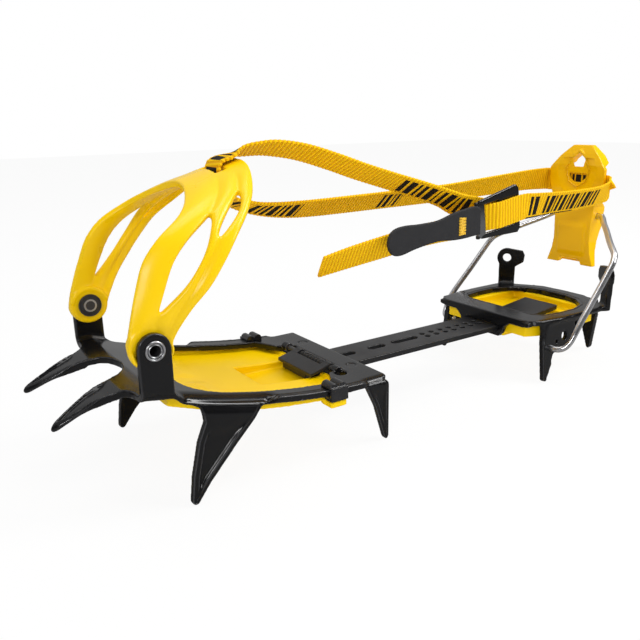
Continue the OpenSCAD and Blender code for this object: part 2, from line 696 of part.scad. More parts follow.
side_front_x = ring_x0 + 8;
side_tip_z = leaning_tip_z(heel_splay);
side_outline = [
    [side_front_x, ring_z - 1], [side_front_x, side_tip_z + 1.2], [side_front_x + 0.8, side_tip_z],
    [side_front_x + tip_w - 0.4, side_tip_z], [side_front_x + 7.4, 9.5], [side_front_x + 7.2, 11.6],
    [pivot_gap + 3, 15], [pivot_gap + 12, 17.5], [ring_x0 + 44, ring_z - 6],
    [ring_x0 + 47, ring_z - 1]
];
side_plate_y = ring_front_w;
module heel_side_plate() {
    translate([0, side_plate_y, ring_z]) rotate([heel_splay, 0, 0]) translate([0, -side_plate_y, -ring_z])
        difference() {
            across(side_plate_y - sheet_t, side_plate_y) polygon(side_outline);
            y_pin(pivot_gap + 13, 23.5, 2.4, 0, 60);
            y_pin(pivot_gap + 6, 21.5, 1.1, 0, 60);
            y_pin(ring_x0 + 38, 29, 1.2, 0, 60);
        }
}

rear_point_y = ring_half_w - 22;
rear_lean = 9;
rear_tip_z = leaning_tip_z(rear_lean) - ring_z;
module rear_point() {
    translate([ring_x1, rear_point_y, ring_z]) rotate([0, -rear_lean, 0]) translate([-sheet_t, 0, 0])
        along(0, sheet_t) polygon([
            [-rear_root_w / 2, -1], [-rear_root_w / 2, -8], [-tip_w / 2, rear_tip_z + 1],
            [-tip_w / 2 + 0.8, rear_tip_z], [tip_w / 2 - 0.8, rear_tip_z],
            [tip_w / 2, rear_tip_z + 1], [rear_root_w / 2, -8], [rear_root_w / 2, -1]
        ]);
}

// Posts at the rear corners, turned to follow the ring's chamfered corner
heel_post_r = 6.4;
heel_hole_z = heel_post_z - heel_post_r;
module heel_post() {
    translate([rear_corner[0], rear_corner[1], 0]) rotate([0, 0, -rear_corner_turn]) difference() {
        union() {
            across(-sheet_t, 0) polygon([
                [-5, ring_z - 1], [5.6, ring_z - 1], [5.6, heel_hole_z - 6], [11, heel_hole_z - 2.5],
                [11.5, heel_hole_z + 2], [10, heel_hole_z + 5], [0, heel_post_z],
                [-5, heel_hole_z]
            ]);
            y_pin(0, heel_hole_z, heel_post_r, -sheet_t, 0);
            across(-7, 0) translate([-5, ring_z - sheet_t]) square([10.6, sheet_t]);
        }
        y_pin(0, heel_hole_z, heel_hole_r, -sheet_t - 1, 1);
    }
}

module heel_frame() color(steel) place() difference() {
    union() {
        heel_ring();
        heel_flange();
        for (side = [-1, 1]) mirror([0, side < 0 ? 1 : 0, 0]) {
            heel_side_plate();
            rear_point();
            heel_post();
        }
    }
    y_pin(pivot_gap, bail_z, wire_r + run_gap, -60, 60);
}

// Heel anti-balling plate: floor under the bar, raised pads beside and behind it
heel_plate_half = [
    [ring_x0 + sheet_t + side_gap, 0], [ring_x0 + sheet_t + side_gap, ring_front_w - 8],
    [side_front_x + 4, ring_front_w - sheet_t - 1], [ring_x0 + 44, ring_front_w - sheet_t - 1],
    [ring_x0 + 60, ring_half_w - 8], [ring_x1 - sheet_t - 8, ring_half_w - 17], [ring_x1 - sheet_t - 8, 0]
];
pad_z = bar_z - 0.4;
module heel_snow_plate() color(yellow) place() difference() {
    union() {
        translate([0, 0, pad_z]) linear_extrude(ring_z - sheet_t - side_gap - pad_z)
            polygon(concat(heel_plate_half, flip_y(heel_plate_half)));
        translate([ring_x0 + sheet_t + side_gap, -guide_y - 2, bar_z - 1 - plate_t])
            cube([bar_x1 - ring_x0, 2 * guide_y + 4, plate_t + 4]);
    }
    translate([ring_x0, -guide_y - 0.5, bar_z - 1]) cube([bar_x1 - ring_x0 + 2, 2 * guide_y + 1, 20]);
    translate([ring_x0 + 12, -28, bar_z + bar_t - 1]) cube([ring_len - 27, 56, 20]);
    for (side = [-1, 1]) mirror([0, side < 0 ? 1 : 0, 0])
        translate([ring_x0 + 12, guide_y + 3, 0]) cube([ring_len - 36, 10, pad_z + 0.6]);
}

// Heel bail: one wire, with straight ends in the side plates and a straight middle in the lever
bail_leg = [
    [0, -1.5, 0], [0, 0.2, 0], [0, 1.4, 0], [0.9, 4, 0.3], [2.8, 6.2, 1.6], [5.2, 7.5, 4.4], [8, 8.2, 9],
    [14, 7.9, 16], [27, 6.9, 29.3]
];
bail_top = [
    [-32, ring_half_w + 6, -22.8], [-28.8, ring_half_w + 5.2, -19.2], [-25.6, ring_half_w + 3.2, -16.2],
    [-19, 36.5, -11.5], [-10.5, 28, -6.6], [-5.2, 22.2, -3.3], [-1.5, 18.6, -0.9], [0, 16.6, 0],
    [0, 15.8, 0], [0, 14.4, 0]
];
bail_path = spline(concat(
    [for (p = bail_leg) [pivot_gap + p[0], ring_half_w + p[1], bail_z + p[2]]],
    [for (p = bail_top) [axle_x + p[0], p[1], axle_z + p[2]]]
), 2);
module heel_bail() color(bright) place() {
    for (side = [-1, 1]) mirror([0, side < 0 ? 1 : 0, 0]) {
        y_pin(pivot_gap, bail_z, wire_r, bail_inner_y, ring_half_w);
        sweep(wire_rings(bail_path, wire_r - 0.05, 10, [1, 0, -0.9]));
    }
    y_pin(axle_x, axle_z, wire_r, -15.6, 15.6);
}

// Heel lever: a channel, open to the rear, on the bail's straight middle. Its head is a
// ring for a finger, and its side walls are notched where the strap passes behind it.
neck_z = axle_z + 8.4;
head_z = axle_z + 31.4;
lever_half = [
    [6.8, lever_top_z], [13.8, lever_top_z - 6.5], [19.8, lever_top_z - 14], [19.6, axle_z + 21],
    [17.2, axle_z + 14], [14.4, axle_z + 6], [13.4, axle_z - 4], [13.2, axle_z - 16], [14.2, axle_z - 22.5],
    [17.2, axle_z - lever_down]
];
function lever_edge(i, inset) = [
    lever_half[i][0] - inset,
    lever_half[i][1] + (i == 0 ? -inset : i == len(lever_half) - 1 ? inset : 0)
];
function lever_outline(inset) =
    let (half = [for (i = [0:len(lever_half) - 1]) lever_edge(i, inset)])
    concat(half, [for (i = [len(half) - 1:-1:0]) [-half[i][0], half[i][1]]]);
lever_side = [
    [lever_x + 5, lever_top_z + 1], [lever_x + 2, lever_top_z - 5], [lever_x, lever_top_z - 12],
    [lever_x, axle_z - lever_down - 1], [lever_x + lever_wall + 0.4, axle_z - lever_down - 1],
    [lever_x + lever_depth, axle_z - 6], [lever_x + lever_depth, neck_z - 3],
    [lever_x + lever_depth - 3, neck_z - 0.6], [lever_x + lever_wall, neck_z + 1.6],
    [lever_x + lever_wall, head_z - 1],
    [lever_x + 8, head_z + 1], [lever_x + 9, lever_top_z - 6], [lever_x + 7.5, lever_top_z + 1]
];
module heel_lever() color(yellow) place() difference() {
    intersection() {
        union() {
            along(lever_x, lever_x + lever_wall) polygon(lever_outline(0));
            along(lever_x, lever_x + lever_depth) difference() {
                polygon(lever_outline(0));
                polygon(lever_outline(lever_wall));
            }
            along(lever_x, lever_x + lever_depth) intersection() {
                polygon(lever_outline(0));
                translate([-20, head_z - 1]) square([40, 20]);
            }
        }
        across(-40, 40) polygon(lever_side);
    }
    along(lever_x - 1, lever_x + lever_depth) polygon([
        [0, lever_top_z - 4.5], [5, lever_top_z - 8.5], [8.4, lever_top_z - 15], [6, lever_top_z - 22],
        [0, lever_top_z - 25.5], [-6, lever_top_z - 22], [-8.4, lever_top_z - 15], [-5, lever_top_z - 8.5]
    ]);
    along(lever_x - 1, lever_x + lever_wall + 1)
        polygon([[9, axle_z - lever_down - 1], [7, axle_z - lever_down + 3.4], [-7, axle_z - lever_down + 3.4],
                 [-9, axle_z - lever_down - 1]]);
    y_pin(axle_x, axle_z, wire_r + run_gap, -30, 30);
}

// Ankle strap: sewn to the buckle, forward over the harness, back behind the lever and
// forward again through the buckle to its free end. Each row is a place and the direction
// of the strap's width.
slot_x = 48.2;
slot_z = pivot_z + 59.3;
buckle_in = buckle_y + buckle_t / 2 + side_gap + strap_t / 2;
buckle_out = buckle_y - buckle_t / 2 - side_gap - strap_t / 2;
function in_buckle(dx, y, dz) = [
    buckle_x + dx * cos(buckle_lean) - dz * sin(buckle_lean), y,
    buckle_z + dx * sin(buckle_lean) + dz * cos(buckle_lean)
];
buckle_up = [-sin(buckle_lean), 0, cos(buckle_lean)];
strap_near = [
    [in_buckle(mid_bar_dx + 4, buckle_in, 0.4), buckle_up],
    [in_buckle(-2, buckle_in + 0.6, 1.4), buckle_up],
    [[buckle_x - 8.5, -21.4, buckle_z + 2.2], [-0.08, -0.08, 1]],
    [[buckle_x - 16, -20, buckle_z + 4.2], [0, -0.42, 1]],
    [[buckle_x - 24, -19.4, buckle_z + 7], [0, -0.85, 1]],
    [[buckle_x - 32, -18.8, buckle_z + 10.4], [0, -1.3, 1]],
    [[buckle_x - 47, -16.5, buckle_z + 15.5], [0, -1.5, 1]],
    [[133, -13.5, 116.9], [0, -1.65, 1]],
    [[118, -11, 121.8], [0, -1.7, 1]],
    [[104, -9, 126.8], [0, -1.75, 1]],
    [[89, -6, 131.6], [0, -1.8, 1]],
    [[76, -3.5, 133.8], [0, -1.9, 1]],
    [[67, -1.5, 133.7], [-0.2, -2.2, 1]]
];
strap_slot = [
    [[slot_x + 11.5, 0, slot_z + 7], [0, -1, 0.3]],
    [[slot_x + 6.4, 0, slot_z + 5.4], [0, -1, 0]],
    [[slot_x + 1.2, 0, slot_z + 3.6], [0, -1, 0]],
    [[slot_x - 0.4, 0, slot_z - 0.4], [0, -1, 0]],
    [[slot_x + 0.3, 0, slot_z - 4], [0, -1, 0]],
    [[slot_x + 2, 0.2, slot_z - 7.4], [0, -1, 0]],
    [[slot_x + 5, 0.6, slot_z - 10.6], [0, -1, 0.1]],
    [[slot_x + 9.4, 1.4, slot_z - 14], [0, -1, 0.25]]
];
strap_far = [
    [[66, 2.5, 108.4], [0.2, -1, 0.35]],
    [[77, 4, 106.2], [0.2, -0.9, 0.5]],
    [[90, 6, 104.8], [0.15, -0.8, 0.6]],
    [[105, 8.5, 104], [0.1, -0.8, 0.7]],
    [[125, 11, 103.7], [0, -0.75, 0.7]],
    [[157, 14.5, 103.5], [0, -0.7, 0.7]],
    [[199, 18, 103.5], [0, -0.65, 0.75]],
    [[axle_x - 62, 20, 104.7], [0, -0.5, 0.85]],
    [[axle_x - 27, 21.6, 105.8], [0, -0.35, 0.95]],
    [[lever_x, 22.3, 105.6], [0, -0.12, 1]]
];
strap_wrap = [
    [[wrap_x - 2.2, 22, 105.4], [0, -0.05, 1]],
    [[wrap_x - 0.5, 20.6, 105.2], [0, 0, 1]],
    [[wrap_x, 18, 105], [0, 0, 1]],
    [[wrap_x, 8, 104.2], [0, 0, 1]],
    [[wrap_x, -8, 103.6], [0, 0, 1]],
    [[wrap_x, -18, 102.8], [0, 0, 1]],
    [[wrap_x - 0.5, -20.8, 102.4], [0, 0, 1]],
    [[wrap_x - 2.2, -22.3, 101.6], [0, -0.1, 1]],
    [[lever_x, -22.8, 100.4], [0, -0.3, 1]]
];
strap_front = [
    [[axle_x - 20, -24.6, 98.8], [0, -0.45, 0.9]],
    [[axle_x - 40, -26, 98.3], [0, -0.45, 0.9]],
    [[axle_x - 62, -27, 98.4], [0, -0.4, 0.92]],
    [[buckle_x + rear_bar_dx + 12, -27.7, buckle_z + 2.6], [-0.05, -0.2, 1]],
    [in_buckle(rear_bar_dx + 3, buckle_out, 0.2), buckle_up],
    [in_buckle(mid_bar_dx, buckle_out, 0), buckle_up],
    [in_buckle(mid_bar_dx - 4, buckle_out + 0.4, 0), buckle_up],
    [in_buckle(front_bar_dx + 7.5, buckle_y + 0.2, 0), buckle_up],
    [in_buckle(front_bar_dx + 2.5, buckle_in + 0.8, -0.2), buckle_up],
    [in_buckle(front_bar_dx - 3, buckle_in + 0.9, -0.8), buckle_up]
];
strap_tail = [
    [[buckle_x - 25, -22.6, buckle_z - 4.4], [-0.1, -0.2, 1]],
    [[buckle_x - 37, -21.8, buckle_z - 5.6], [-0.1, -0.4, 0.9]],
    [[buckle_x - 54, -21.4, buckle_z - 7], [-0.14, -0.42, 0.9]],
    [[buckle_x - 74, -21, buckle_z - 9.6], [-0.14, -0.45, 0.88]],
    [[buckle_x - 93, -20.6, buckle_z - 12.2], [-0.13, -0.52, 0.85]],
    [[buckle_x - 108, -20.3, buckle_z - 14.6], [-0.13, -0.6, 0.78]]
];
strap_rows = concat(strap_near, strap_slot, strap_far, strap_wrap, strap_front, strap_tail);
strap_path = spline([for (row = strap_rows) row[0]], 2);
strap_wide = spline([for (row = strap_rows) unit(row[1])], 2);
strap_rings = [
    for (i = [0:len(strap_path) - 1])
        let (t = tangent(strap_path, i), n = unit(cross(strap_wide[i], t)), w = cross(t, n))
        [for (c = [[-1, -1], [1, -1], [1, 1], [-1, 1]])
            strap_path[i] + w * c[0] * strap_w / 2 + n * c[1] * strap_t / 2]
];
module ankle_strap() color(yellow) place() sweep(strap_rings);

// Buckle: frame with two windows, its bright front bar, and the black pull tab
module lean() {
    translate([buckle_x, 0, buckle_z]) rotate([0, -buckle_lean, 0])
        translate([-buckle_x, 0, -buckle_z]) children();
}
module buckle_frame() color(steel) place() lean() difference() {
    across(buckle_y - buckle_t / 2, buckle_y + buckle_t / 2) polygon([
        [buckle_x + front_bar_dx - 2, buckle_z - buckle_half_front],
        [buckle_x + rear_bar_dx, buckle_z - buckle_half_rear],
        [buckle_x + rear_bar_dx + 2, buckle_z - buckle_half_rear + 2],
        [buckle_x + rear_bar_dx + 2, buckle_z + buckle_half_rear - 2],
        [buckle_x + rear_bar_dx, buckle_z + buckle_half_rear],
        [buckle_x + front_bar_dx - 2, buckle_z + buckle_half_front]
    ]);
    across(buckle_y - 5, buckle_y + 5) translate([buckle_x + front_bar_dx - 3, buckle_z - strap_w / 2 - 0.6])
        square([mid_bar_dx - front_bar_dx + 1.5, strap_w + 1.2]);
    across(buckle_y - 5, buckle_y + 5) translate([buckle_x + mid_bar_dx + 1.5, buckle_z - strap_w / 2 - 0.6])
        square([rear_bar_dx - mid_bar_dx - 3, strap_w + 1.2]);
    translate([buckle_x + front_bar_dx, buckle_y, buckle_z - 30]) cylinder(r = bright_bar_r - 0.7, h = 60);
}

module buckle_bar() color(bright) place() lean() translate([buckle_x + front_bar_dx, buckle_y, buckle_z]) {
    translate([0, 0, -strap_w / 2 - 0.5]) cylinder(r = bright_bar_r, h = strap_w + 1);
    translate([0, 0, -buckle_half_front]) cylinder(r = bright_bar_r - 0.7, h = 2 * buckle_half_front);
}

tab_y = buckle_y - bright_bar_r - side_gap;
tab_t = 1.6;
module pull_tab() color(dark) place() difference() {
    union() {
        translate([buckle_x, 0, buckle_z]) across(tab_y - tab_t, tab_y) polygon([
            [front_bar_dx + 0.4, -8.6], [front_bar_dx + 1.6, 4.6], [-19, 6], [-35, 4], [-45, 1.4],
            [-67, 0.8], [-73, -0.6], [-76, -4], [-76, -9], [-73, -12.4], [-68, -13], [-59, -11],
            [-45, -9], [-33, -9.6]
        ]);
        lean() translate([buckle_x + front_bar_dx, buckle_y, buckle_z - 7])
            cylinder(r = bright_bar_r + side_gap + tab_t, h = 13);
    }
    lean() {
        translate([buckle_x + front_bar_dx, buckle_y, 60]) cylinder(r = bright_bar_r + run_gap, h = 60);
        translate([buckle_x + front_bar_dx, buckle_y - bright_bar_r, 60]) cube([20, 20, 60]);
        translate([buckle_x + front_bar_dx - 20, buckle_y, 60]) cube([40, 20, 60]);
    }
}

front_frame();
front_snow_plate();
snow_plate_clip_left();
snow_plate_clip_right();
toe_harness();
toe_rivet_left();
toe_rivet_right();
rivet_cap_left();
rivet_cap_right();
latch_lever();
latch_pin();
latch_spring();
bar_guide();
guide_rivets();
linking_bar();
heel_frame();
heel_snow_plate();
heel_bail();
heel_lever();
ankle_strap();
buckle_frame();
buckle_bar();
pull_tab();
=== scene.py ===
import bpy, bmesh, math
import numpy as np
from mathutils import Matrix, Vector


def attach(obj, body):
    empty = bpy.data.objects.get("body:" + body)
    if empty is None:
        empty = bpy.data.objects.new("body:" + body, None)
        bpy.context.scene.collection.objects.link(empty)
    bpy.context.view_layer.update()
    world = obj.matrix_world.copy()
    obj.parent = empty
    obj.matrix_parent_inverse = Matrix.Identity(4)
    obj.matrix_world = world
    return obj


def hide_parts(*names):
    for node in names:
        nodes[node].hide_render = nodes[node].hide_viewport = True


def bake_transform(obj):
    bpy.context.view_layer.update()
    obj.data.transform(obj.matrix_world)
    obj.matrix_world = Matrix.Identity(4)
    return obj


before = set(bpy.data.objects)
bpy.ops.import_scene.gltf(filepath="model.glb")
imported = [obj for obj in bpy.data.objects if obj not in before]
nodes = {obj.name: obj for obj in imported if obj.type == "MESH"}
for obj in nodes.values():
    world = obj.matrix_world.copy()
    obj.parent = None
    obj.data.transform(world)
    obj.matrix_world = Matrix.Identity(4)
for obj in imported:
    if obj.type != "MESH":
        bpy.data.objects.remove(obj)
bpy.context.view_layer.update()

# The studio: a camera at the photograph's place, a pale floor, a white backdrop
# that the camera and mirror reflections see, and four soft lamps.
toe_x = -0.137
camera = bpy.data.objects.new("camera", bpy.data.cameras.new("camera"))
bpy.context.scene.collection.objects.link(camera)
camera.data.lens = 38.64
camera.data.clip_start, camera.data.clip_end = 0.01, 20
camera.matrix_world = (
    Matrix.Translation((toe_x - 0.08118, -0.27293, 0.14627))
    @ Matrix.Rotation(math.radians(-33.781), 4, "Z")
    @ Matrix.Rotation(math.radians(90 - 16.418), 4, "X")
    @ Matrix.Rotation(math.radians(-1.093), 4, "Z")
)
bpy.context.scene.camera = camera
bpy.context.scene.view_settings.view_transform = "Standard"


def put(tree, kind, links=(), **settings):
    """Adds a shader node; links names sockets and gives each a value or another socket."""
    node = tree.nodes.new("ShaderNode" + kind)
    for key, value in settings.items():
        setattr(node, key, value)
    for socket, source in links:
        if isinstance(source, bpy.types.NodeSocket):
            tree.links.new(source, node.inputs[socket])
        else:
            node.inputs[socket].default_value = source
    return node


world = bpy.data.worlds.new("studio")
bpy.context.scene.world = world
world.use_nodes = True
sky = world.node_tree
sky.nodes.clear()
seen = put(sky, "LightPath")
way = put(sky, "SeparateXYZ", [(0, put(sky, "TexCoord").outputs["Generated"])])
sky_light = 0.45
backdrop = put(sky, "MapRange", [("Value", way.outputs["Y"]), ("From Min", -0.1), ("From Max", 0.7),
                                 ("To Min", -0.42), ("To Max", 0.05)])
mirrored = put(sky, "Math", [(0, seen.outputs["Is Glossy Ray"]), (1, backdrop.outputs["Result"]),
                             (2, sky_light)], operation="MULTIPLY_ADD")
looked = put(sky, "Math",
             [(0, seen.outputs["Is Camera Ray"]), (1, seen.outputs["Is Transmission Ray"])],
             operation="ADD", use_clamp=True)
strength = put(sky, "Math", [(0, looked.outputs[0]), (1, 1 - sky_light), (2, mirrored.outputs[0])],
               operation="MULTIPLY_ADD")
light = put(sky, "Background", [("Color", (1, 1, 1, 1)), ("Strength", strength.outputs[0])])
put(sky, "OutputWorld", [("Surface", light.outputs[0])])

bpy.ops.mesh.primitive_plane_add(size=6, location=(0, 0, -0.0004))
floor = bpy.context.object
floor.name = "studio_floor"
floor_paint = bpy.data.materials.new("pale_floor")
floor_paint.use_nodes = True
tree = floor_paint.node_tree
tree.nodes.clear()
floor_tone = put(tree, "MapRange", [("Value", put(tree, "LightPath").outputs["Is Glossy Ray"]),
                                    ("To Min", 0.9), ("To Max", 0.28)])
floor_matt = put(tree, "BsdfDiffuse", [("Color", floor_tone.outputs["Result"])])
floor_white = put(tree, "Emission", [("Strength", 1.0)])
floor_seen = put(tree, "Math", [(0, put(tree, "LightPath").outputs["Is Camera Ray"]), (1, 0.93)],
                 operation="MULTIPLY")
floor_mix = put(tree, "MixShader", [("Fac", floor_seen.outputs[0]), (1, floor_matt.outputs[0]),
                                    (2, floor_white.outputs[0])])
put(tree, "OutputMaterial", [("Surface", floor_mix.outputs[0])])
floor.data.materials.append(floor_paint)

lamp_aim = Vector((0, 0, 0.05))
for lamp_name, place, size, power in (
    ("lamp_over", (0.0, 0.1, 1.1), 0.6, 3.8),
    ("lamp_high", (0.52, -0.3, 0.8), 0.3, 4.2),
    ("lamp_left", (-0.85, -0.75, 0.55), 0.2, 2.8),
    ("lamp_right", (0.75, -0.75, 0.6), 0.2, 2.2),
):
    lamp = bpy.data.objects.new(lamp_name, bpy.data.lights.new(lamp_name, "AREA"))
    bpy.context.scene.collection.objects.link(lamp)
    lamp.data.shape = "SQUARE"
    lamp.data.size = size
    lamp.data.energy = power
    lamp.location = place
    lamp.rotation_euler = (lamp_aim - Vector(place)).to_track_quat("-Z", "Y").to_euler()

# Front section: one stamped sheet of 3 mm steel with a glossy black coating. Its points and
# posts are bent from the rim, so the bends are round, and the points carry pressed ribs.


def only(piece):
    """Makes a piece the one selected and active object."""
    bpy.ops.object.select_all(action="DESELECT")
    bpy.context.view_layer.objects.active = piece
    piece.select_set(True)


def change(piece, kind, **settings):
    """Adds a modifier and applies it."""
    only(piece)
    step = piece.modifiers.new("step", kind)
    for key, value in settings.items():
        setattr(step, key, value)
    bpy.ops.object.modifier_apply(modifier="step")


def cast(name, source):
    """A copy of a CAD node as a new piece, with its doubled vertices merged."""
    mesh = nodes[source].data.copy()
    piece = bpy.data.objects.new(name, mesh)
    bpy.context.scene.collection.objects.link(piece)
    only(piece)
    bpy.ops.object.mode_set(mode="EDIT")
    bpy.ops.mesh.select_all(action="SELECT")
    bpy.ops.mesh.remove_doubles(threshold=2e-6)
    bpy.ops.object.mode_set(mode="OBJECT")
    return piece


def skin(piece, voxel, soften):
    """Covers a piece with a fine even skin and rounds its edges."""
    change(piece, "REMESH", mode="VOXEL", voxel_size=voxel / 1000)
    change(piece, "SMOOTH", factor=0.5, iterations=soften)
    bpy.ops.object.shade_smooth()


def points(piece):
    """Vertices and their normals in millimetres from the toe pivots."""
    v = np.empty(len(piece.data.vertices) * 3, dtype=np.float32)
    n = np.empty(len(piece.data.vertices) * 3, dtype=np.float32)
    piece.data.vertices.foreach_get("co", v)
    piece.data.vertices.foreach_get("normal", n)
    v = v.reshape(-1, 3).astype(float) * 1000
    v[:, 0] -= toe_x * 1000
    return v, n.reshape(-1, 3).astype(float)


def move_points(piece, v):
    """Puts the vertices that points() gave back at their new places."""
    v = v.copy()
    v[:, 0] += toe_x * 1000
    piece.data.vertices.foreach_set("co", (v / 1000).astype(np.float32).ravel())
    piece.data.update()


def ease(a, b, t):
    """A soft step that is 0 at a and 1 at b."""
    t = np.clip((t - a) / (b - a), 0, 1)
    return t * t * (3 - 2 * t)


def off_line(p, line):
    """Distance in the plane from points to a line of straight runs."""
    best = np.full(len(p), 1e9)
    for a, b in zip(line[:-1], line[1:]):
        a, b = np.array(a, float), np.array(b, float)
        t = np.clip(((p - a) @ (b - a)) / max(1e-9, (b - a) @ (b - a)), 0, 1)
        best = np.minimum(best, np.linalg.norm(p - a - t[:, None] * (b - a), axis=1))
    return best


def rolled(a, b, radius):
    """Turns a square corner into a round bend; a and b are depths behind its two outer faces."""
    p, q = radius - a, radius - b
    size = np.where((p > 0) & (q > 0), np.maximum(p, q) / np.maximum(np.hypot(p, q), 1e-6), 1.0)
    return radius - p * size, radius - q * size


def round_bends(piece, weight, turns):
    """Rounds the bends of a sheet where weight is high."""
    group = piece.vertex_groups.new(name="bend")
    for level in (0.25, 0.5, 0.75, 1.0):
        near = np.nonzero((weight > level - 0.25) & (weight <= level + 1e-6))[0]
        group.add([int(i) for i in near], level, "REPLACE")
    change(piece, "SMOOTH", factor=0.5, iterations=turns, vertex_group="bend")
    piece.vertex_groups.clear()


def new_group(name, takes, gives):
    """An empty shader group with its sockets."""
    group = bpy.data.node_groups.new(name, "ShaderNodeTree")
    for socket in takes:
        group.interface.new_socket(socket, in_out="INPUT", socket_type="NodeSocketFloat")
    for socket in gives:
        group.interface.new_socket(socket, in_out="OUTPUT", socket_type="NodeSocketFloat")
    return group


# Shared effect: soft patches, fine grain and a mask of sharp edges that vary over a surface; the
# finishes lighten these edges as rubbed coating and as painted highlight
surface = new_group("surface_marks", ("Patch Size", "Grain Size"), ("Patches", "Grain", "Edges"))
taken = put(surface, "NewGeometry")
asked = surface.nodes.new("NodeGroupInput")
spot = put(surface, "TexCoord").outputs["Object"]
patch = put(surface, "TexNoise",
            [("Vector", spot), ("Scale", asked.outputs["Patch Size"]), ("Detail", 3.0)])
grain = put(surface, "TexNoise",
            [("Vector", spot), ("Scale", asked.outputs["Grain Size"]), ("Detail", 2.0)])
edges = put(surface, "MapRange",
            [("Value", taken.outputs["Pointiness"]), ("From Min", 0.52), ("From Max", 0.6)])
given = surface.nodes.new("NodeGroupOutput")
surface.links.new(patch.outputs[0], given.inputs["Patches"])
surface.links.new(grain.outputs[0], given.inputs["Grain"])
surface.links.new(edges.outputs[0], given.inputs["Edges"])


def finish_of(name, dark, pale, edge, wear_and_sheen, smooth, rough, patch_size, grain_size, relief,
              **sockets):
    """A finish whose colour, gloss and surface vary with the shared marks.

    dark and pale are the colours of the patches, edge that of sharp edges, which are lightened
    both as rubbed coating and as painted highlight, the argument after edge how much of that
    shows, smooth and rough the range of roughness, and relief the height of the grain in metres.
    """
    material = bpy.data.materials.new(name)
    material.use_nodes = True
    tree = material.node_tree
    shader = tree.nodes["Principled BSDF"]
    marks = put(tree, "Group", node_tree=surface)
    marks.inputs["Patch Size"].default_value = patch_size
    marks.inputs["Grain Size"].default_value = grain_size
    tone = put(tree, "Mix", [("Factor", marks.outputs["Patches"])], data_type="RGBA")
    tone.inputs[6].default_value = (*dark, 1)
    tone.inputs[7].default_value = (*pale, 1)
    # Sharp edges take the edge colour: rubbed coating and painted highlight along the edges.
    worn_and_lit = put(tree, "Math", [(0, marks.outputs["Edges"]), (1, wear_and_sheen)], operation="MULTIPLY",
               use_clamp=True)
    colour = put(tree, "Mix", [("Factor", worn_and_lit.outputs[0])], data_type="RGBA")
    tree.links.new(tone.outputs[2], colour.inputs[6])
    colour.inputs[7].default_value = (*edge, 1)
    tree.links.new(colour.outputs[2], shader.inputs["Base Color"])
    gloss = put(tree, "MapRange",
                [("Value", marks.outputs["Patches"]), ("From Min", 0.3), ("From Max", 0.7),
                 ("To Min", smooth), ("To Max", rough)])
    tree.links.new(gloss.outputs["Result"], shader.inputs["Roughness"])
    bump = put(tree, "Bump",
               [("Height", marks.outputs["Grain"]), ("Strength", 0.5), ("Distance", relief)])
    tree.links.new(bump.outputs[0], shader.inputs["Normal"])
    for socket, value in sockets.items():
        shader.inputs[socket.replace("_", " ")].default_value = value
    return material


def fit(piece, body, material, slot, *stands_for):
    """Gives a finished piece its material and its body, and hides the nodes that it stands for."""
    piece.data.materials.clear()
    piece.data.materials.append(material)
    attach(piece, body)
    if stands_for:
        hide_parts(*stands_for)


# Its edge colour is a light grey on the black: painted highlight along the sharp edges, and some
# rubbed coating.
black_coat = finish_of("black_coat", (0.004, 0.004, 0.0045), (0.007, 0.007, 0.008),
                       (0.14, 0.14, 0.15), 0.7, 0.16, 0.24, 45, 1400, 0.00002,
                       Specular_IOR_Level=0.4)


def sheet_z(x):
    """Height of the front sheet's top above the ground, at x behind the toe pivots."""
    x = np.asarray(x, float)
    rise = 18 * np.power(np.clip(1 - np.maximum(x, 0) / 100, 0, None), 1.8)
    return 31.5 + rise - 9.5 * np.power(np.clip(-x / 34, 0, None), 1.8)


sheet_t, tine_half_t = 3.0, 1.8
front_section = cast("front_section", "front_frame")
skin(front_section, 0.46, 3)

# Round bends at the second points, the corner points and the toe posts: the outer face's
# distance from the middle, the radius, where along the sheet, and whether the bend goes up
v, _ = points(front_section)
side = np.sign(v[:, 1])
side_y = np.abs(v[:, 1])
for out_y, radius, share, going_up in (
    (45.5, 8.5, ease(7, 11, v[:, 0]) * ease(52, 45, v[:, 0]), False),
    (44.0, 5.0, ease(94, 99, v[:, 0]), False),
    (44.0, 5.5, ease(8.5, 6.5, np.abs(v[:, 0])), True),
):
    top = sheet_z(v[:, 0])
    depth = v[:, 2] - top + sheet_t if going_up else top - v[:, 2]
    new_side, new_depth = rolled(out_y - side_y, depth, radius)
    v[:, 2] += share * (new_depth - depth) * (1 if going_up else -1)
    side_y += share * (out_y - new_side - side_y)
v[:, 1] = side * side_y

# Front points: rounded across towards the tips, which droop and reach out a little more.
# tine_out and tine_in are the edges of a point, p and q the place across and through it.
x = v[:, 0]
tine_out = np.interp(x, [-34, -28, -20, -14.5, -9, -6.5], [24.8, 26.6, 27.5, 29, 37, 44])
tine_in = np.interp(x, [-34, -28, -20, -12, -5], [22.2, 18.6, 15.6, 14.4, 12])
middle, half = (tine_out + tine_in) / 2, (tine_out - tine_in) / 2
height = sheet_z(x) - tine_half_t
p = np.clip((side_y - middle) / half, -1.05, 1.05)
q = np.clip((v[:, 2] - height) / tine_half_t, -1.05, 1.05)
share = ease(-14, -27, x)
tip = np.where(x < -10, np.sqrt(1 - np.clip((-31.2 - x) / 2.9, 0, 1) ** 2), 1.0)
tine = x < -13.5
p, q = p + share * p * (np.sqrt(1 - q * q / 2) - 1), q + share * q * (np.sqrt(1 - p * p / 2) - 1)
side_y = np.where(tine, middle + half * tip * p, side_y)
v[:, 2] = np.where(tine, height + tine_half_t * tip * q, v[:, 2])
v[:, 2] -= 1.2 * ease(-20, -34, x)
v[:, 0] -= 1.0 * ease(-20, -34, x)
v[:, 1] = side * side_y
move_points(front_section, v)
bend = ease(36, 38.5, side_y) * ease(5, 9, x) * ease(52, 46, x) * ease(9, 6, sheet_z(x) - v[:, 2])
round_bends(front_section, bend, 16)

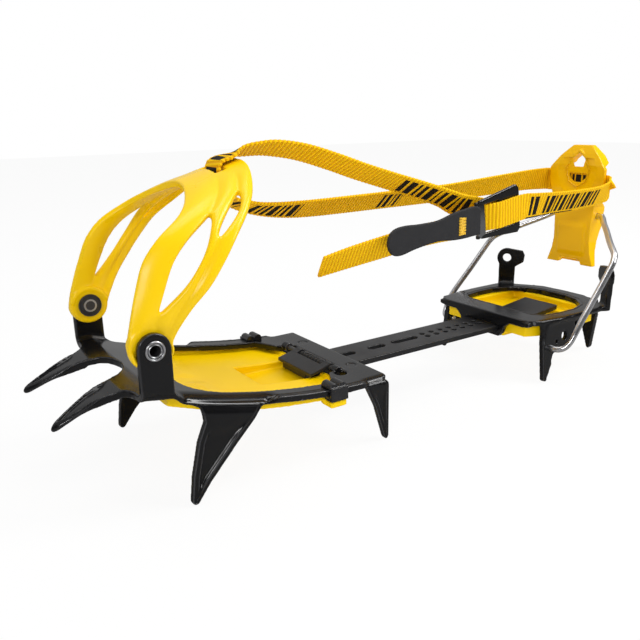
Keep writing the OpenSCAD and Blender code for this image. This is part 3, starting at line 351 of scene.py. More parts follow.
# Pressed relief: a sunk panel inside a raised rib on each second and corner point, sunk tops of
# the front points, and two fine lines along the rim. The edges are given in millimetres.
second_edges = (
    [(16, 41), (17, 33.8), (13.7, 26), (10.5, 12), (9.2, 1.2), (10.5, 0)],
    [(10.5, 0), (11.8, 0), (17.9, 8), (30, 21), (38.5, 29.5), (44.5, 36)],
)
corner_edges = (
    [(109, 30.5), (110, 28.5), (110, 1.2), (108.7, 0)],
    [(108.7, 0), (107.4, 1.2), (102.2, 18), (97, 28.5)],
)
tine_edges = (
    [(-6.5, 44), (-9, 37), (-14.5, 29), (-20, 27.5), (-28, 26.6), (-34, 24.8)],
    [(-34, 22.2), (-28, 18.6), (-20, 15.6), (-12, 14.4), (-5, 12), (-1, 6.5), (0.5, 0)],
)
v, n = points(front_section)
side = np.sign(v[:, 1])
outward = ease(0.55, 0.85, n[:, 1] * side)
flat = v[:, [0, 2]]
sunk = np.zeros(len(v))
for edges_of, here, rib, deep, top in (
    (second_edges, (v[:, 0] < 46) & (np.abs(v[:, 1]) > 40), 2.5, 1.3, 32.0),
    (corner_edges, (v[:, 0] > 94) & (np.abs(v[:, 1]) > 38), 1.9, 0.8, 27.0),
):
    inset = np.minimum(off_line(flat, edges_of[0]), off_line(flat, edges_of[1]))
    panel = ease(rib, rib + 0.9, inset) * ease(top, top - 7, v[:, 2])
    sunk += deep * panel * here
    sunk += 0.45 * np.exp(-((inset - rib * 0.42) / 0.3) ** 2) * here * ease(top + 6, top, v[:, 2])
v -= n * (sunk * outward)[:, None]
upward = ease(0.6, 0.85, n[:, 2])
plan = np.column_stack([v[:, 0], np.abs(v[:, 1])])
inset = np.minimum(off_line(plan, tine_edges[0]), off_line(plan, tine_edges[1]))
sunk = 1.3 * ease(1.3, 2.0, inset) * ease(-9, -15, v[:, 0])
sunk += 0.4 * np.exp(-((inset - 0.8) / 0.3) ** 2) * ease(-5, -10, v[:, 0])
rim_out = 46 - 1.5 * (np.abs(v[:, 0] - 38) / 40) ** 2 / (1 + (np.abs(v[:, 0] - 38) / 60) ** 2)
from_edge = rim_out - np.abs(v[:, 1])
rim = ease(44, 47, v[:, 0]) * ease(98, 95, v[:, 0]) * (v[:, 2] > 28)
for line_at in (1.3, 2.7):
    sunk += 0.35 * np.exp(-((from_edge - line_at) / 0.32) ** 2) * rim
v[:, 2] -= sunk * upward
move_points(front_section, v)
fit(front_section, "front", black_coat, "black_steel", "front_frame")

# Front anti-balling plate: a shallow tub of soft yellow plastic, moulded in one piece with
# facets in its floor, so that wet snow falls off.
yellow_plate = finish_of("yellow_plate", (1.0, 0.63, 0.0), (1.0, 0.7, 0.0), (1.0, 0.75, 0.02), 0.3,
                         0.26, 0.36, 30, 900, 0.00002, Specular_IOR_Level=0.15)
# The relief is two ridges a side in its floor. The outer part is shallower, but for the lugs
# below the clips.
front_plate = cast("front_plate", "front_snow_plate")
skin(front_plate, 0.6, 4)
v, n = points(front_plate)
upward = ease(0.5, 0.8, n[:, 2])
for side_sign in (-1, 1):
    for ridge in ([(16, 12), (33, 29)], [(33, 29), (31, 8)]):
        away = off_line(np.column_stack([v[:, 0], side_sign * v[:, 1]]), ridge)
        v[:, 2] += 0.7 * np.clip(1 - away / 6, 0, 1) * upward * (v[:, 2] < sheet_z(v[:, 0]) - 3.4)
under = sheet_z(v[:, 0]) - 3.3
lug = (np.abs(v[:, 0] - 82.25 - 2.25 * np.sign(v[:, 1])) < 5) & (np.abs(v[:, 1]) > 38.4)
v[:, 2] += 0.3 * np.clip(under - v[:, 2], 0, None) * ease(24, 41, np.abs(v[:, 1])) * ~lug
move_points(front_plate, v)
fit(front_plate, "front", yellow_plate, "yellow_plastic", "front_snow_plate")

# Clips: two black nylon mouldings, each with two round humps. They snap over the rim and hold
# the plate by the lugs below it.
black_nylon = finish_of("black_nylon", (0.012, 0.012, 0.013), (0.02, 0.02, 0.022),
                        (0.05, 0.05, 0.05), 0.4, 0.1, 0.2, 200, 2500, 0.00002)
for name in ("snow_plate_clip_left", "snow_plate_clip_right"):
    clip = cast(name + "_moulded", name)
    skin(clip, 0.22, 4)
    fit(clip, "front", black_nylon, "black_plastic", name)

# Toe pivots: a hollow rivet of bright steel with its rim rolled over on the post, and a
# black cap over its inner end. The rolled rim shows as two rings.
bright = finish_of("bright_steel", (0.68, 0.68, 0.7), (0.78, 0.78, 0.8), (0.85, 0.85, 0.87), 0.4,
                   0.26, 0.34, 90, 3000, 0.000005, Metallic=1.0)
black_cap = finish_of("black_cap", (0.02, 0.02, 0.022), (0.03, 0.03, 0.033), (0.07, 0.07, 0.07),
                      0.5, 0.4, 0.55, 200, 3000, 0.00006)
pivot_z = 66.3


def built(name, made):
    """A new piece from a finished bmesh, with its faces turned outwards."""
    bmesh.ops.recalc_face_normals(made, faces=made.faces)
    mesh = bpy.data.meshes.new(name)
    made.to_mesh(mesh)
    made.free()
    piece = bpy.data.objects.new(name, mesh)
    bpy.context.scene.collection.objects.link(piece)
    return piece


def turned(name, outline, side_sign, steps=72):
    """A ring turned about the toe pivots; outline lists its radii and distances along Y."""
    made = bmesh.new()
    rings = []
    for k in range(steps):
        turn = 2 * math.pi * k / steps
        rings.append([
            made.verts.new((r * math.cos(turn) / 1000 + toe_x, side_sign * y / 1000,
                            (pivot_z + r * math.sin(turn)) / 1000))
            for r, y in outline
        ])
    for k in range(steps):
        a, b = rings[k], rings[(k + 1) % steps]
        for i in range(len(outline)):
            j = (i + 1) % len(outline)
            made.faces.new((a[i], a[j], b[j], b[i]))
    bmesh.ops.remove_doubles(made, verts=made.verts, dist=1e-7)
    piece = built(name, made)
    only(piece)
    bpy.ops.object.shade_smooth_by_angle(angle=math.radians(40))
    return piece


rim_bead = [(3.45 + 0.45 * math.cos(a), 44.2 + 0.6 * math.sin(a))
            for a in np.linspace(0, math.pi, 9)]
inner_bead = [(2.45 + 0.3 * math.cos(a), 44.1 + 0.45 * math.sin(a))
              for a in np.linspace(0, math.pi, 7)]
for side_sign, word in ((-1, "left"), (1, "right")):
    rivet = turned("toe_rivet_%s_rolled" % word,
                   rim_bead + [(2.95, 43.8), (2.8, 43.8)] + inner_bead
                   + [(2.1, 43.6), (2.1, 35.5), (2.9, 35.5), (2.9, 43.7), (3.9, 44.0)], side_sign)
    fit(rivet, "front", bright, "bright_steel", "toe_rivet_" + word)
    # The bore and the groove between the two rings take the black cap's finish: painted shade in
    # these hollows.
    rivet.data.materials.append(black_cap)
    for face in rivet.data.polygons:
        c = face.center
        from_axis = math.hypot(c.x - toe_x, c.z - pivot_z / 1000)
        in_bore = from_axis < 0.0021 and abs(c.y) < 0.04361
        between_rings = 0.00278 < from_axis < 0.00296 and abs(c.y) > 0.0436
        if in_bore or between_rings:
            face.material_index = 1
    cap = turned("rivet_cap_%s_pressed" % word,
                 [(0.0001, 35.6), (2.2, 35.6), (4.2, 35.65), (4.5, 35.75), (4.7, 35.5), (5.0, 35.5),
                  (5.15, 35.8), (5.15, 36.3), (0.0001, 36.4)], side_sign)
    fit(cap, "front", black_cap, "black_plastic", "rivet_cap_" + word)

# Toe harness: one moulding of tough yellow plastic, an arch over the boot's toe with a long
# and a short window in each arm, a slot for the strap, and a raised ring round each pivot.
harness_yellow = finish_of("harness_yellow", (0.98, 0.61, 0.0), (1.0, 0.67, 0.0), (1.0, 0.73, 0.02),
                           0.35, 0.24, 0.34, 25, 1200, 0.00002, Specular_IOR_Level=0.3)
arch_front = [
    (31, 0, 54.6), (30.5, 7, 53.8), (28.5, 14, 52), (23.5, 24, 48.2), (17.5, 30, 44.2),
    (8, 33.5, 38), (1.5, 34.5, 30.7), (-2.7, 35.8, 20.7), (-5.8, 37.4, 11.7), (-7.8, 38.6, 4.7),
    (-8.2, 38.8, 0)]
arch_rear = [
    (59.6, 0, 62.6), (58.8, 9, 61.8), (56, 19, 58.6), (51, 29, 52.5), (45, 36, 46.2),
    (36.5, 42.4, 38), (29.4, 45, 29.2), (22.8, 45.2, 20.7), (16, 42.4, 12.7), (10.8, 39.4, 4.7),
    (8.4, 38.8, 0)]


def smooth_line(rows, steps):
    """Smooth curve through rows; steps is a number per interval, or a length in millimetres."""
    rows = [np.array(r, float) for r in rows]
    out, at_row = [], []
    for i in range(len(rows) - 1):
        p, q, r, s = rows[max(0, i - 1)], rows[i], rows[i + 1], rows[min(len(rows) - 1, i + 2)]
        count = steps
        if not isinstance(steps, int):
            count = max(2, int(round(np.linalg.norm((r - q)[:3]) / steps)))
        last = i == len(rows) - 2
        for k in range(count + (1 if last else 0)):
            t = k / count
            out.append((2 * q + (r - p) * t + (2 * p - 5 * q + 4 * r - s) * t * t
                        + (3 * q - p - 3 * r + s) * t ** 3) / 2)
            at_row.append(i + t)
    return np.array(out), np.array(at_row)


arch_steps = 9
edge_a, arch_u = smooth_line(arch_front, arch_steps)
edge_b, _ = smooth_line(arch_rear, arch_steps)
edge_a = np.vstack([edge_a[:0:-1], edge_a * (1, -1, 1)])
edge_b = np.vstack([edge_b[:0:-1], edge_b * (1, -1, 1)])
arch_u = np.concatenate([arch_u[:0:-1], arch_u])


def window_bump(u, a, b):
    """How far a window from a to b is open at u, from 0 to 1."""
    return 0.0 if u <= a or u >= b else math.sin(math.pi * (u - a) / (b - a)) ** 0.75


# Each arm has three strips across, parted by the long and the short window. wide and small are
# the windows' half widths and mid is the long one's middle, as shares of the arm's width.
strips = (6, 5, 4)
arch = bmesh.new()
grid, open_long, open_short = [], [], []
for i, u in enumerate(arch_u):
    lo, hi = max(0, i - 1), min(len(arch_u) - 1, i + 1)
    across_way = (edge_b[lo] + edge_b[hi] - edge_a[lo] - edge_a[hi]) / 2
    along_way = (edge_a[hi] + edge_b[hi] - edge_a[lo] - edge_b[lo]) / 2
    facing = np.cross(across_way, along_way)
    facing /= np.linalg.norm(facing)
    wide = 0.09 if u < 1.2 else 0.165 * window_bump(u, 4, 8)
    mid = 0.6 if u < 1.2 else 0.45 + 0.09 * window_bump(u, 4, 8) + 0.12 * max(0, (4 - u) / 4)
    small = 0.085 * window_bump(u, 2.9, 5.1)
    open_long.append(wide > 0)
    open_short.append(small > 0)
    cuts = (0, mid - wide, mid + wide, 0.78 - small, 0.78 + small, 1)
    row = []
    for k, count in enumerate(strips):
        for j in range(count + 1):
            share = cuts[2 * k] + (cuts[2 * k + 1] - cuts[2 * k]) * j / count
            middle = edge_a[i] + (edge_b[i] - edge_a[i]) * share
            in_arm = float(ease(1.3, 2.6, u) * ease(9.6, 8.4, u))
            thick = 1.5 + in_arm * (0.85 * math.sin(math.pi * j / count) - 0.35)
            row.append([
                arch.verts.new(((middle[0] + facing[0] * h) / 1000 + toe_x,
                                (middle[1] + facing[1] * h) / 1000,
                                (middle[2] + facing[2] * h + pivot_z) / 1000))
                for h in (-thick, thick)])
    grid.append(row)
starts = (0, strips[0] + 1, strips[0] + strips[1] + 2)


def plate_face(*corners):
    """A face of the arch, unless two of its corners are the same."""
    if len(set(corners)) == 4:
        arch.faces.new(corners)


for i in range(len(grid) - 1):
    a, b = grid[i], grid[i + 1]
    for k, count in enumerate(strips):
        for j in range(starts[k], starts[k] + count):
            plate_face(a[j][1], a[j + 1][1], b[j + 1][1], b[j][1])
            plate_face(a[j][0], b[j][0], b[j + 1][0], a[j + 1][0])
    walls = [0, starts[2] + strips[2]]
    if open_long[i] or open_long[i + 1]:
        walls += [strips[0], starts[1]]
    if open_short[i] or open_short[i + 1]:
        walls += [starts[1] + strips[1], starts[2]]
    for j in walls:
        plate_face(a[j][0], a[j][1], b[j][1], b[j][0])
for row in (grid[0], grid[-1]):
    for k, count in enumerate(strips):
        for j in range(starts[k], starts[k] + count):
            plate_face(row[j][0], row[j + 1][0], row[j + 1][1], row[j][1])
bmesh.ops.remove_doubles(arch, verts=arch.verts, dist=2e-6)
harness = built("harness_moulding", arch)


def join(piece, *others):
    """Makes other pieces part of a piece."""
    only(piece)
    for other in others:
        other.select_set(True)
    bpy.ops.object.join()


def carve(piece, cutter):
    """Cuts one piece with another, which is used up."""
    change(piece, "BOOLEAN", operation="DIFFERENCE", object=cutter, solver="EXACT")
    bpy.data.objects.remove(cutter)


# An ear and a raised ring at each end; the ring fades into the arm above the pivot
for side_sign in (-1, 1):
    ear = turned("ear",
                 [(0.0001, 36.7), (7.8, 36.7), (8.4, 37.4), (8.6, 38.6), (8.6, 40.1), (8.2, 40.7),
                  (0.0001, 40.7)], side_sign)
    ring = turned("raised_ring",
                  [(7.75 + 0.9 * math.cos(a), 40.4 + 2.2 * math.sin(a))
                   for a in np.linspace(0, math.pi, 12)] + [(6.85, 38.8), (8.65, 38.8)],
                  side_sign, 96)
    w = np.array([tuple(point.co) for point in ring.data.vertices])
    angle = np.arctan2(w[:, 2] * 1000 - pivot_z, (w[:, 0] - toe_x) * 1000)
    w[:, 1] -= side_sign * 0.0028 * ease(-0.25, 0.35, np.sin(angle))
    ring.data.vertices.foreach_set("co", w.astype(np.float32).ravel())
    join(harness, ear, ring)
skin(harness, 0.46, 6)
for side_sign in (-1, 1):
    carve(harness,
          turned("bore", [(0.0001, 30), (3.0, 30), (3.0, 46), (0.0001, 46)], side_sign, 40))
only(harness)
bpy.ops.object.shade_smooth()
fit(harness, "harness", harness_yellow, "yellow_plastic", "toe_harness")

# Latch: a matt tongue with two knuckles on a steel pin. A coil round the pin holds its tooth
# down in a slot of the bar.
dark_matt = finish_of("dark_matt", (0.014, 0.014, 0.015), (0.024, 0.024, 0.026), (0.08, 0.08, 0.08),
                      0.5, 0.38, 0.52, 120, 2200, 0.00006)
latch = cast("latch_tongue", "latch_lever")
skin(latch, 0.24, 4)
fit(latch, "latch", dark_matt, "black_steel", "latch_lever")
for name in ("latch_pin", "latch_spring"):
    nodes[name].data.materials.clear()
    nodes[name].data.materials.append(dark_matt)

# Guide and its two rivets: a pressed strap of the same black steel under the crossbar, which
# carries the linking bar. The rivets' heads are let into the crossbar's top.
for name, size in (("bar_guide", 0.35), ("guide_rivets", 0.2)):
    guide = cast(name + "_pressed", name)
    skin(guide, size, 3)
    fit(guide, "front", black_coat, "black_steel", name)

# Linking bar: a flat spring-steel bar with long slots and pairs of round setting holes,
# slightly more matt than the stamped sections.
black_bar = finish_of("black_bar", (0.009, 0.009, 0.01), (0.018, 0.018, 0.02), (0.07, 0.07, 0.07),
                      0.6, 0.3, 0.44, 60, 1800, 0.00005, Specular_IOR_Level=0.4)
bar = cast("linking_bar_punched", "linking_bar")
skin(bar, 0.4, 3)
fit(bar, "heel", black_bar, "black_steel", "linking_bar")

# Heel section: stamped and bent from one sheet like the front one, with two side points,
# two rear points, a flange for the bar and two posts with open holes.
heel = cast("heel_section", "heel_frame")
skin(heel, 0.42, 3)
heel_window = [(232, 0), (232, 24), (235, 29), (247, 31.5), (261, 31.5), (272, 28), (280, 19),
               (283, 9), (283.5, 0)]
v, _ = points(heel)
plan = np.column_stack([v[:, 0], np.abs(v[:, 1])])
from_window = off_line(plan, heel_window)
bend = (ease(3.5, 6, from_window) * ease(24, 28, v[:, 2]) * ease(43, 39, v[:, 2])
        * ease(222, 227, v[:, 0]))
round_bends(heel, bend, 60)
v, n = points(heel)
upward = ease(0.6, 0.85, n[:, 2]) * (v[:, 2] > 33) * (v[:, 0] > 224)
v[:, 2] -= 0.4 * np.exp(-((from_window - 1.7) / 0.4) ** 2) * upward
# The ring's inner edge is turned down at the back, which closes the view below it
lip = ease(2.4, 0.8, from_window) * ease(34.8, 33.2, v[:, 2]) * ease(22, 17, np.abs(v[:, 1]))
lip *= (v[:, 2] > 31) & (v[:, 0] > 262)
v[:, 2] -= 2.6 * lip
move_points(heel, v)
fit(heel, "heel", black_coat, "black_steel", "heel_frame")

# Heel anti-balling plate: one moulding of the same yellow plastic, with pads that fill the ring
# from below. It is held between the heel section's side plates.
heel_plate = cast("heel_plate", "heel_snow_plate")
skin(heel_plate, 0.6, 4)
fit(heel_plate, "heel", yellow_plate, "yellow_plastic", "heel_snow_plate")

# Heel bail: one bright spring wire of 3.5 mm. Its ends turn in the side plates and its
# straight middle carries the lever.
wire_r = 1.75
bail_half = [
    (231, 36, 19), (231, 39, 19), (231, 41.2, 19), (231, 42.4, 19), (231.9, 45, 19.3),
    (233.8, 47.2, 20.6), (236.2, 48.5, 23.4), (239, 49.2, 28), (245, 48.9, 35), (258, 47.9, 48.3),
    (270, 47, 61.2), (273.2, 46.2, 64.8), (276.4, 44.2, 67.8), (283, 36.5, 72.5), (291.5, 28, 77.4),
    (296.8, 22.2, 80.7), (300.5, 18.6, 83.1), (302, 16.6, 84), (302, 15.8, 84), (302, 0, 84)]
wire_line, _ = smooth_line(bail_half, 6)
wire_line = np.vstack([wire_line, (wire_line * (1, -1, 1))[-2::-1]])


def swept(name, line, outline_at):
    """A closed skin through rings of points; outline_at gives the ring at station i."""
    made = bmesh.new()
    rings = [[made.verts.new(tuple(p)) for p in outline_at(i)] for i in range(len(line))]
    for a, b in zip(rings[:-1], rings[1:]):
        for i in range(len(a)):
            j = (i + 1) % len(a)
            made.faces.new((a[i], a[j], b[j], b[i]))
    made.faces.new(rings[0])
    made.faces.new(rings[-1][::-1])
    return built(name, made)


def wire_ring(i):
    """The wire's outline at station i, a little smaller at its two ends."""
    a, b = wire_line[max(0, i - 1)], wire_line[min(len(wire_line) - 1, i + 1)]
    t = (b - a) / np.linalg.norm(b - a)
    u = np.cross(t, (1, 0, -0.9))
    u /= np.linalg.norm(u)
    w = np.cross(t, u)
    r = wire_r if 0 < i < len(wire_line) - 1 else wire_r * 0.7
    return [((wire_line[i] + r * (math.cos(k) * u + math.sin(k) * w)) / 1000 + (toe_x, 0, 0))
            for k in np.linspace(0, 2 * math.pi, 20, endpoint=False)]


bail = swept("bail_wire", wire_line, wire_ring)
only(bail)
bpy.ops.object.shade_smooth()
fit(bail, "bail", bright, "bright_steel", "heel_bail")

# Heel lever: moulded yellow plastic, a channel with a ring for the finger at its head. A
# sunk floor with two openings fills the ring, and the strap shows through the lower one.
lever_yellow = finish_of("lever_yellow", (1.0, 0.52, 0.0), (1.0, 0.58, 0.0), (1.0, 0.66, 0.02),
                         0.35, 0.16, 0.24, 30, 1200, 0.00001, Specular_IOR_Level=0.3)


def prism(name, outline, x0, x1, along_y=False):
    """A block along X from an outline in Y and Z, or along Y from an outline in X and Z."""
    made = bmesh.new()
    ends = [[made.verts.new(((p if along_y else x) / 1000 + toe_x, (x if along_y else p) / 1000,
                             z / 1000)) for p, z in outline] for x in (x0, x1)]
    made.faces.new(ends[0])
    made.faces.new(ends[1][::-1])
    for i in range(len(outline)):
        j = (i + 1) % len(outline)
        made.faces.new((ends[0][i], ends[1][i], ends[1][j], ends[0][j]))
    return built(name, made)


lever = cast("lever_moulding", "heel_lever")
sunk_floor = prism("sunk_floor",
                   [(0, 124.5), (6, 120), (10, 112), (7, 103), (0, 99), (-7, 103), (-10, 112),
                    (-6, 120)], 297.5, 298.9)
carve(sunk_floor,
      prism("finger_hole", [(0, 122.6), (4.8, 119), (3.4, 114), (-3.4, 114), (-4.8, 119)],
            290, 310))
carve(sunk_floor,
      prism("strap_view",
            [(6.6, 110), (5.6, 107), (2.4, 104.6), (-2.4, 104.6), (-5.6, 107), (-6.6, 110)],
            290, 310))
join(lever, sunk_floor)
skin(lever, 0.36, 3)
# The front has a raised pad below, and the head slopes in to the floor of its ring
v, n = points(lever)
facing = ease(0.5, 0.8, -n[:, 0])
pad = ease(0, 2.4, 11 - np.abs(v[:, 1])) * ease(58, 62, v[:, 2]) * ease(81, 76, v[:, 2])
v[:, 0] -= 0.9 * pad * facing
ring_edge = [(0, 122.5), (5, 118.5), (8.4, 112), (6, 105), (0, 101.5), (-6, 105), (-8.4, 112),
             (-5, 118.5), (0, 122.5)]
rim_gap = off_line(v[:, 1:3], ring_edge)
v[:, 0] += 1.6 * np.clip(1 - rim_gap / 6, 0, 1) * facing * (v[:, 0] < 297.2)
move_points(lever, v)
fit(lever, "lever", lever_yellow, "yellow_plastic", "heel_lever")

# Ankle strap: one length of ribbed yellow webbing, 14 mm wide. It is sewn to the buckle, runs
# through the harness's slot, round the lever and back through the buckle to its free end.
strap_w, strap_t, rib_pitch, rib_slant = 14.0, 1.6, 2.0, 0.28
buckle_x, buckle_y, buckle_z, buckle_lean = 197, -26, 96, math.radians(8)
slot_x, slot_z, wrap_x = 48.2, 125.6, 300.1
buckle_in, buckle_out = buckle_y + 2.1, buckle_y - 2.1


def in_buckle(dx, y, dz):
    """A point given along and across the leaning buckle."""
    return (buckle_x + dx * math.cos(buckle_lean) - dz * math.sin(buckle_lean), y,
            buckle_z + dx * math.sin(buckle_lean) + dz * math.cos(buckle_lean))


# The strap's route: places of its middle line, each with the direction of its width
up = (-math.sin(buckle_lean), 0, math.cos(buckle_lean))
near_rows = [
    (*in_buckle(6, buckle_in, 0.4), *up), (*in_buckle(-2, buckle_in + 0.6, 1.4), *up),
    (188.5, -21.4, 98.2, -0.08, -0.08, 1), (181, -20, 100.2, 0, -0.42, 1),
    (173, -19.4, 103, 0, -0.85, 1), (165, -18.8, 106.4, 0, -1.3, 1),
    (150, -16.5, 111.5, 0, -1.5, 1), (133, -13.5, 116.9, 0, -1.65, 1),
    (118, -11, 121.8, 0, -1.7, 1), (104, -9, 126.8, 0, -1.75, 1), (89, -6, 131.6, 0, -1.8, 1),
    (76, -3.5, 133.8, 0, -1.9, 1), (67, -1.5, 133.7, -0.2, -2.2, 1)]
slot_rows = [
    (slot_x + 11.5, 0, slot_z + 7, 0, -1, 0.3), (slot_x + 6.4, 0, slot_z + 5.4, 0, -1, 0),
    (slot_x + 1.2, 0, slot_z + 3.6, 0, -1, 0), (slot_x - 0.4, 0, slot_z - 0.4, 0, -1, 0),
    (slot_x + 0.3, 0, slot_z - 4, 0, -1, 0), (slot_x + 2, 0.2, slot_z - 7.4, 0, -1, 0),
    (slot_x + 5, 0.6, slot_z - 10.6, 0, -1, 0.1), (slot_x + 9.4, 1.4, slot_z - 14, 0, -1, 0.25)]
far_rows = [
    (66, 2.5, 108.4, 0.2, -1, 0.35), (77, 4, 106.2, 0.2, -0.9, 0.5),
    (90, 6, 104.8, 0.15, -0.8, 0.6), (105, 8.5, 104, 0.1, -0.8, 0.7),
    (125, 11, 103.7, 0, -0.75, 0.7), (157, 14.5, 103.5, 0, -0.7, 0.7),
    (199, 18, 103.5, 0, -0.65, 0.75), (240, 20, 104.7, 0, -0.5, 0.85),
    (275, 21.6, 105.8, 0, -0.35, 0.95), (296, 22.3, 105.6, 0, -0.12, 1)]
wrap_rows = [
    (wrap_x - 2.2, 22, 105.4, 0, -0.05, 1), (wrap_x - 0.5, 20.6, 105.2, 0, 0, 1),
    (wrap_x, 18, 105, 0, 0, 1), (wrap_x, 8, 104.2, 0, 0, 1), (wrap_x, -8, 103.6, 0, 0, 1),
    (wrap_x, -18, 102.8, 0, 0, 1), (wrap_x - 0.5, -20.8, 102.4, 0, 0, 1),
    (wrap_x - 2.2, -22.3, 101.6, 0, -0.1, 1), (296, -22.8, 100.4, 0, -0.3, 1)]
back_rows = [
    (282, -24.6, 98.8, 0, -0.45, 0.9), (262, -26, 98.3, 0, -0.45, 0.9),
    (240, -27, 98.4, 0, -0.4, 0.92), (223, -27.7, 98.6, -0.05, -0.2, 1),
    (*in_buckle(17, buckle_out, 0.2), *up), (*in_buckle(2, buckle_out, 0), *up),
    (*in_buckle(-2, buckle_out + 0.4, 0), *up), (*in_buckle(-6.5, buckle_y + 0.2, 0), *up),
    (*in_buckle(-11.5, buckle_in + 0.8, -0.2), *up), (*in_buckle(-17, buckle_in + 0.9, -0.8), *up)]
tail_rows = [
    (172, -22.6, 91.6, -0.1, -0.2, 1), (160, -21.8, 90.4, -0.1, -0.4, 0.9),
    (143, -21.4, 89, -0.14, -0.42, 0.9), (123, -21, 86.4, -0.14, -0.45, 0.88),
    (104, -20.6, 83.8, -0.13, -0.52, 0.85), (89, -20.3, 81.4, -0.13, -0.6, 0.78)]
strap_line, strap_row = smooth_line(near_rows + slot_rows + far_rows + wrap_rows + back_rows
                                    + tail_rows, 0.5)
way_rows = [r[3:6] / np.linalg.norm(r[3:6]) for r in strap_line]
strap_at = strap_line[:, :3]
along = np.concatenate([[0], np.cumsum(np.linalg.norm(np.diff(strap_at, axis=0), axis=1))])
starts_at = np.cumsum([0, len(near_rows), len(slot_rows), len(far_rows), len(wrap_rows),
                       len(back_rows)])
section = np.searchsorted(starts_at, strap_row + 1e-6, side="right") - 1
print("strap length mm", round(float(along[-1]), 1))

# Woven marks: plain black bars at the places where the real webbing is woven black. A place is
# the route's part and the stretch of it along X, or along Y in the part round the lever.
round_lever = 3
mark_pitch, mark_bars = 11.2, ((0, 2.1), (3.6, 7.0), (8.4, 9.6))
mark_places = ((0, 140, 181), (0, 50, 61), (1, 46, 61), (2, 63, 96), (2, 150, 165), (4, 232, 292),
               (4, 219, 226), (round_lever, -16, 16))
marked = np.zeros(len(strap_at))
for which, x0, x1 in mark_places:
    where = strap_at[:, 1] if which == round_lever else strap_at[:, 0]
    inside = (section == which) & (where > x0) & (where < x1)
    beat = (where - x0) % mark_pitch
    for bar_start, bar_end in mark_bars:
        marked[inside & (beat >= bar_start) & (beat < bar_end)] = 1.0
edge_line = ((section == 4) & (strap_at[:, 0] > 216) & (strap_at[:, 0] < 262)).astype(float)

# The strap's outline, as shares of its half width and half thickness
profile = [(-1, -0.3), (-0.975, -0.85), (-0.85, -1), (-0.4, -1), (0, -1), (0.4, -1), (0.85, -1),
           (0.975, -0.85), (1, -0.3), (1, 0.3), (0.975, 0.85), (0.85, 1), (0.4, 1), (0, 1),
           (-0.4, 1), (-0.85, 1), (-0.975, 0.85), (-1, 0.3)]


def strap_ring(i):
    """The strap's outline at station i, with its ribs."""
    a, b = strap_at[max(0, i - 1)], strap_at[min(len(strap_at) - 1, i + 1)]
    t = (b - a) / np.linalg.norm(b - a)
    n = np.cross(way_rows[i], t)
    n /= np.linalg.norm(n)
    w = np.cross(t, n)
    ring = []
    for p, q in profile:
        rib = math.cos(2 * math.pi * (along[i] / rib_pitch + rib_slant * p))
        half = strap_w / 2 * (1 + 0.012 * rib * (abs(p) > 0.9)) - 0.15
        out = strap_t / 2 - 0.1 + 0.1 * rib
        ring.append((strap_at[i] + w * p * half + n * q * out) / 1000 + (toe_x, 0, 0))
    return ring


webbing = bpy.data.materials.new("ribbed_webbing")
webbing.use_nodes = True
tree = webbing.node_tree
shader = tree.nodes["Principled BSDF"]
uv = put(tree, "UVMap", uv_map="webbing")
place = put(tree, "SeparateXYZ", [(0, uv.outputs[0])])
slant = put(tree, "Math", [(0, place.outputs["Y"]), (1, rib_slant)], operation="MULTIPLY")
turn = put(tree, "Math", [(0, place.outputs["X"]), (1, 1 / rib_pitch), (2, slant.outputs[0])],
           operation="MULTIPLY_ADD")
angle = put(tree, "Math", [(0, turn.outputs[0]), (1, 2 * math.pi)], operation="MULTIPLY")
rib = put(tree, "Math", [(0, angle.outputs[0])], operation="COSINE")
thread_turn = put(tree, "Math", [(0, place.outputs["Y"]), (1, 44.0)], operation="MULTIPLY")
thread = put(tree, "Math", [(0, thread_turn.outputs[0])], operation="SINE")
woven = put(tree, "Math", [(0, thread.outputs[0]), (1, 0.07), (2, rib.outputs[0])],
            operation="MULTIPLY_ADD")
fuzz = put(tree, "TexNoise",
           [("Vector", put(tree, "TexCoord").outputs["Object"]), ("Scale", 1600.0),
            ("Detail", 3.0)])
height = put(tree, "Math", [(0, fuzz.outputs[0]), (1, 0.9), (2, woven.outputs[0])],
             operation="MULTIPLY_ADD")
# The cloth is darker in the furrows between the ribs and threads and lighter on their crowns:
# painted shade and light across the ribs.
shade = put(tree, "MapRange", [("Value", woven.outputs[0]), ("From Min", -1.2), ("From Max", 1.0)])
cloth = put(tree, "Mix", [("Factor", shade.outputs[0])], data_type="RGBA")
cloth.inputs[6].default_value = (0.74, 0.35, 0.0, 1)
cloth.inputs[7].default_value = (1.0, 0.62, 0.0, 1)
mark = put(tree, "Attribute", attribute_name="woven_mark")
across_mark = put(tree, "Math", [(0, place.outputs["Y"])], operation="ABSOLUTE")
band = put(tree, "MapRange",
           [("Value", across_mark.outputs[0]), ("From Min", 0.72), ("From Max", 0.78),
            ("To Min", 1.0), ("To Max", 0.0)])
in_band = put(tree, "Math", [(0, mark.outputs["Fac"]), (1, band.outputs[0])], operation="MULTIPLY")
ragged = put(tree, "Math", [(0, rib.outputs[0]), (1, 0.12), (2, in_band.outputs[0])],
             operation="MULTIPLY_ADD")
black_here = put(tree, "Math", [(0, ragged.outputs[0]), (1, 0.5)], operation="GREATER_THAN")
sewn = put(tree, "Attribute", attribute_name="sewn_edge")
low_edge = put(tree, "MapRange",
               [("Value", place.outputs["Y"]), ("From Min", -0.9), ("From Max", -0.84),
                ("To Min", 1.0), ("To Max", 0.0)])
sewn_here = put(tree, "Math", [(0, sewn.outputs["Fac"]), (1, low_edge.outputs[0])],
                operation="MULTIPLY")
any_black = put(tree, "Math", [(0, black_here.outputs[0]), (1, sewn_here.outputs[0])],
                operation="MAXIMUM")
colour = put(tree, "Mix", [("Factor", any_black.outputs[0])], data_type="RGBA")
tree.links.new(cloth.outputs[2], colour.inputs[6])
colour.inputs[7].default_value = (0.018, 0.015, 0.012, 1)
tree.links.new(colour.outputs[2], shader.inputs["Base Color"])
